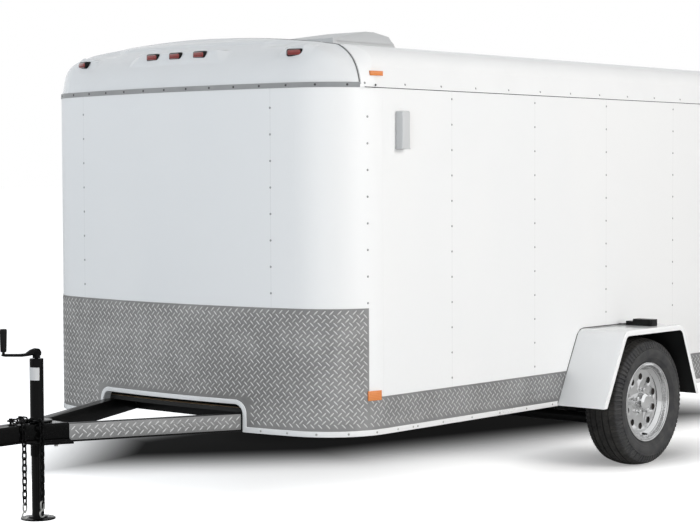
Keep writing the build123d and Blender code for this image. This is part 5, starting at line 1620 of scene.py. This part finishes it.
# ------------------------------------------------------------------ wheels
@dataclass(frozen=True)
class Wheel:
    """Tyre with tread and moulded sidewalls, chrome rim, cap and nuts of one side."""

    side: str
    sign: int
    middle: float = 1.088
    steps: int = 400
    sipe: float = 0.0058
    radius: float = 0.312
    crown: float = 0.012
    tread_half: float = 0.0765
    rim_half: float = 0.082
    valve_drop: float = 0.158
    wall: tuple[tuple[float, float], ...] = (
        (0.0747, 0.1780), (0.0747, 0.1930), (0.0800, 0.1985), (0.0868, 0.2040), (0.0905, 0.2090),
        (0.0938, 0.2140), (0.0958, 0.2152), (0.0976, 0.2200), (0.0970, 0.2212), (0.0992, 0.2280),
        (0.1012, 0.2380), (0.1020, 0.2500), (0.1010, 0.2555), (0.1030, 0.2570), (0.1030, 0.2610),
        (0.0998, 0.2630), (0.0990, 0.2665), (0.0972, 0.2740), (0.0940, 0.2810), (0.0895, 0.2885),
        (0.0845, 0.2950), (0.0790, 0.2992),
    )
    ribs: tuple[tuple[float, float], ...] = (
        (0.0745, 0.0), (0.0680, 0.0), (0.0610, 0.0), (0.0550, 0.0), (0.0535, 0.0075),
        (0.0475, 0.0075), (0.0460, 0.0), (0.0400, 0.0), (0.0340, 0.0), (0.0280, 0.0),
        (0.0220, 0.0), (0.0205, 0.0075), (0.0145, 0.0075), (0.0130, 0.0), (0.0065, 0.0),
    )
    rings: tuple[Spot, ...] = ((0.0015, 0.1905, 0.0034), (0.020, 0.1695, 0.0030))
    stem: tuple[tuple[float, float], ...] = (
        (0.030, 0), (0.030, 0.006), (0.016, 0.0055), (0.015, 0.004), (0.004, 0.004), (0.002, 0),
    )

    @property
    def body(self) -> str:
        """Name of the turning body."""
        return f"wheel_{self.side}"

    @property
    def face(self) -> float:
        """X of the rim's outer edge on the road side."""
        return self.middle + self.rim_half

    def fit(self, piece: Piece, finish: Finishes) -> None:
        """Puts a road-side piece on this wheel's side with a finish."""
        finish.fit(Bench.on_side(piece, self.sign), self.body)

    def profile(self) -> list[Spot]:
        """Tyre's section from the outer bead over the tread to the inner bead.

        Returns:
            The closed line's points.
        """
        half = list(self.wall)
        for across, drop in self.ribs:
            crown = self.crown * (across / self.tread_half) ** 2
            half.append((across, self.radius - crown - drop))
        section = half + [(0.0, self.radius)] + [(-across, up) for across, up in reversed(half)]
        section.append(section[0])
        return [(self.middle + across, 0.0, AXLE_HEIGHT + up) for across, up in section]

    def cut_sipes(self, tyre: Piece) -> None:
        """Lowers narrow slots across the shoulders and the middle ribs.

        Args:
            tyre: the plain tyre, still on the road side.
        """
        pitch = math.tau / (self.steps / 5)
        for vertex in tyre.data.vertices:
            across = vertex.co.x - self.middle
            y, z = vertex.co.y, vertex.co.z - AXLE_HEIGHT
            radius = math.hypot(y, z)
            angle = math.atan2(y, z) + (0.0 if across > 0 else pitch / 2)
            if (angle / pitch + 0.1) % 1.0 >= 0.4:
                continue
            shoulder = 0.056 < abs(across) and radius > 0.265
            rib = (0.030 < abs(across) < 0.044 or abs(across) < 0.010) and radius > 0.3
            if shoulder and radius < 0.294:
                vertex.co.x -= math.copysign(self.sipe * 0.7, across)
            if shoulder or rib:
                share = (radius - self.sipe * (1.0 if shoulder else 0.8)) / radius
                vertex.co.y = y * share
                vertex.co.z = AXLE_HEIGHT + z * share

    def build_tyre(self) -> None:
        """Makes the tyre."""
        centre = (self.middle, 0, AXLE_HEIGHT)
        name = f"{self.side}_tyre_tread"
        tyre = Bench.lathe(name, self.profile(), centre, (1, 0, 0), self.steps)
        self.cut_sipes(tyre)
        Bench.smooth(tyre, 40.0)
        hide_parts(f"tyre_{self.side}")
        self.fit(tyre, Finishes.TYRE)

    def build_beads(self) -> None:
        """Makes the rolled beads inside the rim's flange."""
        beads = []
        for inset, radius, wire in self.rings:
            Bench.clear()
            bpy.ops.mesh.primitive_torus_add(
                major_radius=radius, minor_radius=wire, major_segments=120, minor_segments=10,
                location=(self.face - inset, 0, AXLE_HEIGHT), rotation=(0, RIGHT_ANGLE, 0),
            )
            beads.append(Bench.settle("bead"))
        made = Bench.smooth(Bench.join(f"{self.side}_rim_beads", beads))
        self.fit(made, Finishes.CHROME)

    def build_valve(self) -> None:
        """Makes the valve in the rim's lower part."""
        height = AXLE_HEIGHT - self.valve_drop
        profile = [(self.face - inset, 0, height + radius) for inset, radius in self.stem]
        centre = (self.face, 0, height)
        valve = Bench.lathe(f"{self.side}_valve", profile, centre, (1, 0, 0), 16)
        self.fit(Bench.smooth(valve), Finishes.BLACK_PLASTIC)

    def build(self) -> None:
        """Makes the whole wheel, with rounded lips on the rim and the nuts chamfered."""
        self.build_tyre()
        Finishes.CHROME.form(f"rim_{self.side}", 0.0022, self.body, angle=28.0)
        self.build_beads()
        self.build_valve()
        Finishes.HUB.form(f"drum_hub_{self.side}", 0.0018, self.body, angle=28.0)


# ------------------------------------------------------------------ fenders
@dataclass(frozen=True)
class Fenders:
    """Smooth white fenders with a rounded brow, an inner seal and a stepped lamp housing."""

    seal: tuple[tuple[float, float], ...] = (
        (-0.458, 0.3200), (-0.2880, 0.6500), (-0.2610, 0.6730), (-0.2343, 0.6785),
        (0.2168, 0.6785), (0.2460, 0.6715), (0.2690, 0.6520), (0.4100, 0.3200),
    )
    seal_wall: float = 0.0045
    seal_shrink: float = 0.985
    cover: Corners = ((0.9510, 0.075, 0.6763), (1.005, 0.095, 0.6803))

    @staticmethod
    def blacken(fender: Piece) -> None:
        """Gives the faces that look at the wheel their black undercoat.

        Args:
            fender: the fender.
        """
        fender.data.materials.append(Finishes.UNDERCOAT.value.material())
        for face in fender.data.polygons:
            towards = Vector((0, -face.center.y, 0.25 - face.center.z))
            inner = face.normal.dot(towards) > 0.02 and abs(face.normal.x) < 0.5
            behind = abs(face.normal.x) > 0.5 and face.normal.x * face.center.x < 0
            if inner or behind:
                face.material_index = 1

    def seal_half(self, name: str) -> Piece:
        """The seal between the road-side fender and the wall.

        Args:
            name: its name.

        Returns:
            The seal.
        """
        inner = [(y * self.seal_shrink, z - self.seal_wall) for y, z in reversed(self.seal)]
        outline = [(HALF_WIDTH + OFF_WALL, y, z) for y, z in (*self.seal, *inner)]
        return Bench.sweep(name, outline, (0.0022, 0, 0))

    def build(self) -> None:
        """Makes both fenders, their seals and their lamp housings."""
        for side, _ in SIDES:
            self.blacken(Finishes.FENDER_WHITE.form(f"fender_{side}", 0.007, segments=3, angle=40.0))
        Finishes.SEAL.fit(Bench.pair("fender_seals", self.seal_half))
        Finishes.BLACK_PLASTIC.form("fender_lamps", 0.004, segments=3, angle=40.0)
        covers = Bench.pair("lamp_wire_covers", lambda name: Bench.box(name, *self.cover, 0.0015))
        Finishes.BLACK_PLASTIC.fit(covers)


# ------------------------------------------------------------------ tongue, coupler and jack
@dataclass(frozen=True)
class Tongue:
    """Coupler, chains, jack and the plates round them."""

    jack_y: float = -2.846
    tube_radius: float = 0.0285
    tube_top: float = 0.667
    wire: float = 0.0035
    link_round: float = 0.009
    link_half: float = 0.008
    neck_x: float = 0.047
    nose_y: float = -3.215
    label_foot: float = 0.578
    label_tall: float = 0.053
    label_wall: float = 0.0005
    label_start: float = -121.0
    label_sweep: float = 104.0
    grip_reach: float = 0.172
    arm_wide: float = 0.019
    arm: tuple[tuple[float, float], ...] = (
        (0.020, 0.010), (0.022, 0.026), (0.012, 0.040), (-0.008, 0.043), (-0.030, 0.038),
        (-0.055, 0.025), (-0.090, 0.025), (-0.172, 0.031), (-0.182, 0.026), (-0.172, 0.019),
        (-0.080, 0.012), (-0.045, 0.013), (-0.022, 0.015), (-0.008, 0.010),
    )
    post: tuple[tuple[float, float], ...] = (
        (0, -0.009), (0.0078, -0.009), (0.0078, 0.001), (0.0160, 0.002), (0.0160, 0.012),
        (0.0140, 0.014), (0.0140, 0.030), (0, 0.030),
    )
    pin: tuple[tuple[float, float], ...] = (
        (-0.0145, 0.022), (-0.0145, 0.0268), (-0.0095, 0.027), (0.0095, 0.027),
        (0.0145, 0.0268), (0.0145, 0.022),
    )
    stalk: tuple[tuple[float, float], ...] = ((0, 0.023), (0.006, 0.023), (0.006, 0.043), (0, 0.043))
    grip: tuple[tuple[float, float], ...] = (
        (0, 0.038), (0.0105, 0.038), (0.0122, 0.040), (0.0128, 0.044), (0.0150, 0.122),
        (0.0148, 0.128), (0.0125, 0.1320), (0, 0.1328),
    )
    hook_radius: float = 0.0135
    hook_eye: float = 0.0205

    def lip(self, name: str) -> Piece:
        """The folded lower lip of the coupler's road side.

        Args:
            name: its name.

        Returns:
            The lip.
        """
        neck_y = COUPLER_REAR_Y - (TONGUE_REAR_X - self.neck_x) / math.tan(TONGUE_SLOPE)
        line = (
            (TONGUE_REAR_X, COUPLER_REAR_Y), (self.neck_x, neck_y), (self.neck_x, self.nose_y),
            (self.neck_x + 0.009, self.nose_y), (self.neck_x + 0.009, neck_y - 0.002),
            (TONGUE_REAR_X + 0.010, COUPLER_REAR_Y),
        )
        piece = Bench.sweep(name, [(x, y, SKIRT_FOOT) for x, y in line], (0, 0, 0.007))
        return Bench.bevel(piece, 0.002)

    @staticmethod
    def bolt(name: str) -> Piece:
        """A hexagon head under the road side of the jack's plate.

        Args:
            name: its name.

        Returns:
            The head.
        """
        Bench.clear()
        bpy.ops.mesh.primitive_cylinder_add(
            vertices=6, radius=0.009, depth=0.008, location=(0.082, -2.815, 0.3095)
        )
        return Bench.bevel(Bench.settle(name), 0.001)

    def build_coupler(self) -> None:
        """Makes the coupler's folded shell, its latch, its lower lips and the jack's plate."""
        Finishes.GLOSS_BLACK.form("coupler", 0.0022)
        Finishes.GLOSS_BLACK.form("coupler_latch", 0.003)
        Finishes.GLOSS_BLACK.fit(Bench.pair("coupler_lips", self.lip))
        Finishes.GLOSS_BLACK.form("jack_gusset", 0.0015)
        Finishes.ZINC.fit(Bench.pair("gusset_bolts", self.bolt))

    def build_label(self) -> None:
        """Wraps a blank label round the front of the tube."""
        reach = self.tube_radius + 0.0004
        steps = 24
        outline = []
        for index in range(steps + 1):
            angle = math.radians(self.label_start + self.label_sweep * index / steps)
            x, y = reach * math.cos(angle), self.jack_y + reach * math.sin(angle)
            outline.append((x, y, self.label_foot))
        piece = Bench.sweep("jack_label", outline, (0, 0, self.label_tall), False)
        face = piece.data.polygons[0]
        if face.normal.dot(face.center - Vector((0, self.jack_y, face.center.z))) < 0:
            piece.data.flip_normals()
        Bench.thicken(piece, self.label_wall, 1.0)
        Finishes.LABEL.fit(Bench.smooth(piece))

    def upright(self, name: str, y: float, profile: Iterable[tuple[float, float]], steps: int) -> Piece:
        """Spins a profile round an upright line over the tube.

        Args:
            name: the piece's name.
            y: the line's place; it stands on the trailer's middle plane.
            profile: radius and height above the tube of each point.
            steps: facets round the form.

        Returns:
            The form.
        """
        points = [(radius, y, self.tube_top + height) for radius, height in profile]
        return Bench.lathe(name, points, (0, y, 0), (0, 0, 1), steps)

    def build_crank(self) -> None:
        """Makes the cast crank arm, its yoke and its turning grip."""
        y, top = self.jack_y, self.tube_top
        outline = [(-self.arm_wide / 2, y + ahead, top + up) for ahead, up in self.arm]
        arm = Bench.bevel(Bench.sweep("arm", outline, (self.arm_wide, 0, 0)), 0.0045, 3, 25.0)
        pin_line = [(across, y, top + up) for across, up in self.pin]
        parts = [
            arm,
            Bench.smooth(self.upright("post", y, self.post, 40)),
            Bench.smooth(Bench.lathe("pin", pin_line, (0, y, top + 0.022), (1, 0, 0), 24)),
            Bench.smooth(self.upright("stalk", y - self.grip_reach, self.stalk, 24)),
        ]
        crank = Bench.join("jack_crank_arm", parts)
        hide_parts("jack_crank")
        Finishes.GLOSS_BLACK.fit(crank)
        grip = self.upright("jack_crank_grip", y - self.grip_reach, self.grip, 48)
        Finishes.BLACK_PLASTIC.fit(Bench.smooth(grip, 50.0))

    def link_model(self) -> Piece:
        """One round-wire link, long on X and wide on Y.

        Returns:
            The link.
        """
        Bench.clear()
        bpy.ops.mesh.primitive_torus_add(
            major_radius=self.link_round, minor_radius=self.wire,
            major_segments=24, minor_segments=10,
        )
        piece = Bench.settle("link_model")
        for vertex in piece.data.vertices:
            vertex.co.x += self.link_half * max(-1.0, min(1.0, vertex.co.x / 0.0015))
        return piece

    def hook_model(self) -> Piece:
        """One slip hook with its eye at the origin, hanging along +X and flat on XY.

        Returns:
            The hook.
        """
        eye = self.link_model()
        route = [(0.0180, 0.0020, 0.0)]
        for index in range(19):
            angle = math.radians(-200.0 + 250.0 * index / 18)
            x, y = 0.0330 + self.hook_radius * math.cos(angle), self.hook_radius * math.sin(angle)
            route.append((x, y, 0.0))
        curve = bpy.data.curves.new("hook_wire", "CURVE")
        curve.dimensions = "3D"
        curve.bevel_depth = self.wire
        curve.bevel_resolution = 3
        curve.use_fill_caps = True
        spline = curve.splines.new("NURBS")
        spline.points.add(len(route) - 1)
        for point, place in zip(spline.points, route):
            point.co = (*place, 1.0)
        spline.order_u = 3
        spline.use_endpoint_u = True
        made = bpy.data.objects.new("hook_wire", curve)
        bpy.context.collection.objects.link(made)
        Bench.take(made)
        bpy.ops.object.convert(target="MESH")
        return Bench.join("hook_model", [eye, bpy.context.view_layer.objects.active])

    def build_chains(self) -> None:
        """Lays round links and hooks where the chains' solids lie."""
        links, hooks = [], []
        for points in Bench.islands("safety_chains"):
            low, high = points.min(axis=0), points.max(axis=0)
            middle = (high + low) / 2
            if high[2] - low[2] > 0.055:
                turn = Matrix(((0, 0, 1), (0, 1, 0), (-1, 0, 0))).to_4x4()
                eye = (middle[0], middle[1], high[2] - self.hook_eye)
                hooks.append(Matrix.Translation(eye) @ turn)
                continue
            spread = points - points.mean(axis=0)
            _, axes = np.linalg.eigh(spread.T @ spread)
            long, wide = Vector(axes[:, 2]), Vector(axes[:, 1])
            turn = Matrix((long, wide, long.cross(wide))).transposed().to_4x4()
            links.append(Matrix.Translation(middle) @ turn)
        chain = Bench.copies("chain_links", self.link_model(), links)
        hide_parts("safety_chains")
        Finishes.GLOSS_BLACK.fit(chain)
        Finishes.ZINC.fit(Bench.copies("chain_hooks", self.hook_model(), hooks))

    def build(self) -> None:
        """Makes everything on the tongue."""
        self.build_coupler()
        Finishes.GLOSS_BLACK.form("jack_tube", 0.0015)
        Finishes.GLOSS_BLACK.form("jack_leg", 0.002, "jack_leg")
        self.build_label()
        self.build_crank()
        self.build_chains()
        Finishes.FRAME_BLACK.form("tongue_rails", 0.002)
        Finishes.TREAD_SHEET.form("tongue_side_plates", 0.002)


# ------------------------------------------------------------------ lamps
@dataclass(frozen=True)
class Lamps:
    """Cap lamps, side markers, reflectors and tail lamps."""

    base: Spot = (0.076, 0.037, 0.033)
    lens: Spot = (0.063, 0.020, 0.0236)
    set_back: float = 0.005
    turn: float = 16.0
    pivot: float = 0.03
    outer_step: Spot = (0.009, 0.019, 0.008)
    middle_step: Spot = (0.0, 0.009, -0.003)
    rim: Corners = ((0.8745, 1.5503, 0.616), (0.9405, 1.5550, 0.784))

    def cap_lamp(self, points: np.ndarray) -> tuple[Piece, Piece]:
        """One clearance lamp in front of its solid, turned outwards off the middle.

        Args:
            points: the solid's corners.

        Returns:
            The black base and the red lens.
        """
        low, high = points.min(axis=0), points.max(axis=0)
        outer = abs(low[0] + high[0]) > 0.6
        shift, forward, drop = self.outer_step if outer else self.middle_step
        x = (low[0] + high[0]) / 2 + math.copysign(shift, low[0])
        y, z = low[1] - forward, (low[2] + high[2]) / 2 - drop
        sense = math.copysign(1, x) if abs(x) > 0.3 else 0
        centre = Vector((x, y + self.pivot, z))
        swing = Matrix.Rotation(math.radians(self.turn * sense), 4, "Z")
        pieces = []
        for size, front, width in ((self.base, y + self.set_back, 0.0095), (self.lens, y, 0.0085)):
            corner = Vector((x - size[0] / 2, front, z - size[2] / 2))
            piece = Bench.box("cap_lamp", corner, corner + Vector(size), width, 4)
            piece.data.transform(Matrix.Translation(centre) @ swing @ Matrix.Translation(-centre))
            pieces.append(piece)
        return tuple(pieces)

    def build(self) -> None:
        """Makes all the lamps."""
        lamps = [self.cap_lamp(points) for points in Bench.islands("cap_lamps")]
        bases, lenses = zip(*lamps)
        lens = Bench.join("cap_lamp_lenses", lenses)
        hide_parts("cap_lamps")
        Finishes.RED_LENS.fit(lens)
        Finishes.BLACK_PLASTIC.fit(Bench.join("cap_lamp_bases", bases))
        Finishes.AMBER_LENS.form("side_markers", 0.003, segments=3)
        Finishes.RED_LENS.form("tail_lamps", 0.004, segments=3)
        rims = Bench.pair("tail_lamp_rims", lambda name: Bench.box(name, *self.rim, 0.002))
        Finishes.BLACK_PLASTIC.fit(rims)


# ------------------------------------------------------------------ roof line and vents
@dataclass(frozen=True)
class RoofLine:
    """Gasket and band at the cap's seam, drip edges and vents."""

    lid_edge: float = 2.060
    lid_rise: float = 0.054
    lid_draw: float = 0.42
    lid_curve: float = 1.3
    edge_seal: Corners = ((0.9490, -1.862, 1.7855), (0.9515, 1.489, 1.7885))
    vent_lip: Corners = ((0.9505, -1.6645, 1.5285), (0.9890, -1.6055, 1.5335))

    @staticmethod
    def arch(name: str, y: float, width: float, proud: float) -> Piece:
        """A strip over the roof's arch, laid on the roof's skin.

        Args:
            name: the strip's name.
            y: its front edge.
            width: its width along the trailer.
            proud: its height above the roof.

        Returns:
            The strip.
        """
        skin = Skin("roof")
        line = []
        for angle in np.linspace(0.0, math.pi, 181):
            origin = (0.70 * math.cos(angle), max(y, SEAM_Y + 0.002), 1.80)
            point, normal = skin.last(origin, (math.cos(angle) ** 3, 0, max(math.sin(angle), 0.0)))
            if point is not None:
                line.append((point.x + normal.x * proud, y, point.z + normal.z * proud))
        strip = Bench.sweep(name, line, (0, width, 0), False)
        if strip.data.polygons[len(strip.data.polygons) // 2].normal.z < 0:
            strip.data.flip_normals()
        return Bench.smooth(Bench.thicken(strip, proud))

    def build_seam(self) -> None:
        """Lays the dark gasket, the raised band beside it and the roof's edge seals."""
        Finishes.JOINT.fit(self.arch("cap_gasket", SEAM_Y - 0.002, 0.005, 0.0022))
        Finishes.VENT_PLASTIC.fit(self.arch("cap_band", SEAM_Y + 0.005, 0.026, 0.0014))
        seals = Bench.pair("roof_edge_seal", lambda name: Bench.box(name, *self.edge_seal, 0.0006, 1))
        Finishes.SEAL.fit(seals)

    def build_vents(self) -> None:
        """Makes the side vents, the roof vent's curb and its domed lid."""
        Finishes.VENT_PLASTIC.form("side_vents", 0.005, segments=3)
        lips = Bench.pair("side_vent_lips", lambda name: Bench.box(name, *self.vent_lip, 0.0015))
        Finishes.VENT_PLASTIC.fit(lips)
        Finishes.TRIM_WHITE.form("roof_vent_curb", 0.001, segments=1, angle=40.0)
        lid = Finishes.VENT_PLASTIC.form("roof_vent_lid", 0.022, "roof_vent_lid", 5, 12.0)
        for vertex in lid.data.vertices:
            lift = max(vertex.co.z - self.lid_edge, 0.0) / self.lid_rise
            vertex.co.x *= 1 - self.lid_draw * lift ** self.lid_curve

    def build(self) -> None:
        """Makes the roof line and the vents."""
        self.build_seam()
        self.build_vents()


# ------------------------------------------------------------------ doors and trims
@dataclass(frozen=True)
class Doors:
    """Rear doors, side door, their edge trims and hardware, and the body's trims."""

    trim: float = 0.022
    proud: float = 0.0018
    foot: float = 0.430
    head: float = 1.742
    middle: float = 0.003
    edge: float = 0.859
    sill: Corners = ((-0.500, -2.034, 0.4165), (0.500, -2.014, 0.4900))

    def ring(self, name: str, low: float, high: float) -> Piece:
        """A flat frame of four mitred strips round a rear leaf.

        Args:
            name: the frame's name.
            low: the leaf's lower X.
            high: its higher X.

        Returns:
            The frame.
        """
        outer = ((low, self.foot), (high, self.foot), (high, self.head), (low, self.head))
        senses = ((1, 1), (-1, 1), (-1, -1), (1, -1))
        inner = [(x + self.trim * a, z + self.trim * b) for (x, z), (a, b) in zip(outer, senses)]
        strips = []
        for index in range(4):
            after = (index + 1) % 4
            line = (outer[index], outer[after], inner[after], inner[index])
            points = [(x, REAR_FACE_Y + 0.0001, z) for x, z in line]
            strip = Bench.sweep(f"{name}_{index}", points, (0, self.proud, 0))
            strips.append(Bench.bevel(strip, 0.0006, 1))
        return Bench.join(name, strips)

    def build(self) -> None:
        """Dresses every door and trim."""
        for side, sign in SIDES:
            body = f"rear_door_{side}"
            Finishes.DOOR_WHITE.form(body, 0.002, body)
            Finishes.ZINC.form(f"rear_door_hardware_{side}", 0.0018, body)
            low, high = sorted((sign * self.middle, sign * self.edge))
            Finishes.ALUMINIUM.fit(self.ring(f"rear_edge_{side}", low, high), body)
        Finishes.DOOR_WHITE.form("side_door", 0.002, "side_door")
        Finishes.ZINC.form("side_door_hardware", 0.0012, "side_door")
        Finishes.ZINC.form("hinge_posts", 0.0015)
        Finishes.FRAME_BLACK.fit(Bench.box("front_sill", *self.sill, 0.003))
        Finishes.BLACK_PLASTIC.form("plate_bracket", 0.0015, "rear_door_left")
        Finishes.TRIM_WHITE.form("bottom_trim", 0.0018)
        Finishes.ALUMINIUM.form("front_trim", 0.0007, segments=1)


# ------------------------------------------------------------------ assembly
def carry_finishes() -> None:
    """Gives the solids that show as they are their finishes."""
    Finishes.FRAME_BLACK.carry("chassis_frame", "axle", "leaf_springs")
    Finishes.SIDE_SKIN.carry("left_wall", "right_wall")
    Finishes.FRONT_SKIN.carry("front_wall")
    Finishes.ROOF_WHITE.carry("roof", "rear_frame")
    Finishes.PLYWOOD.carry("floor")


def main() -> None:
    """Builds the trailer's looks in order."""
    logging.basicConfig(level=logging.INFO, format="%(name)s: %(message)s")
    Studio().build()
    carry_finishes()
    wheels = [Wheel(side, sign) for side, sign in SIDES]
    parts = (NoseCap(), TreadPlate(), Fixings(), *wheels, Fenders(), Tongue(), Lamps(), RoofLine(), Doors())
    for part in parts:
        LOG.info("-- %s", type(part).__name__)
        part.build()


if __name__ == "__main__":
    main()
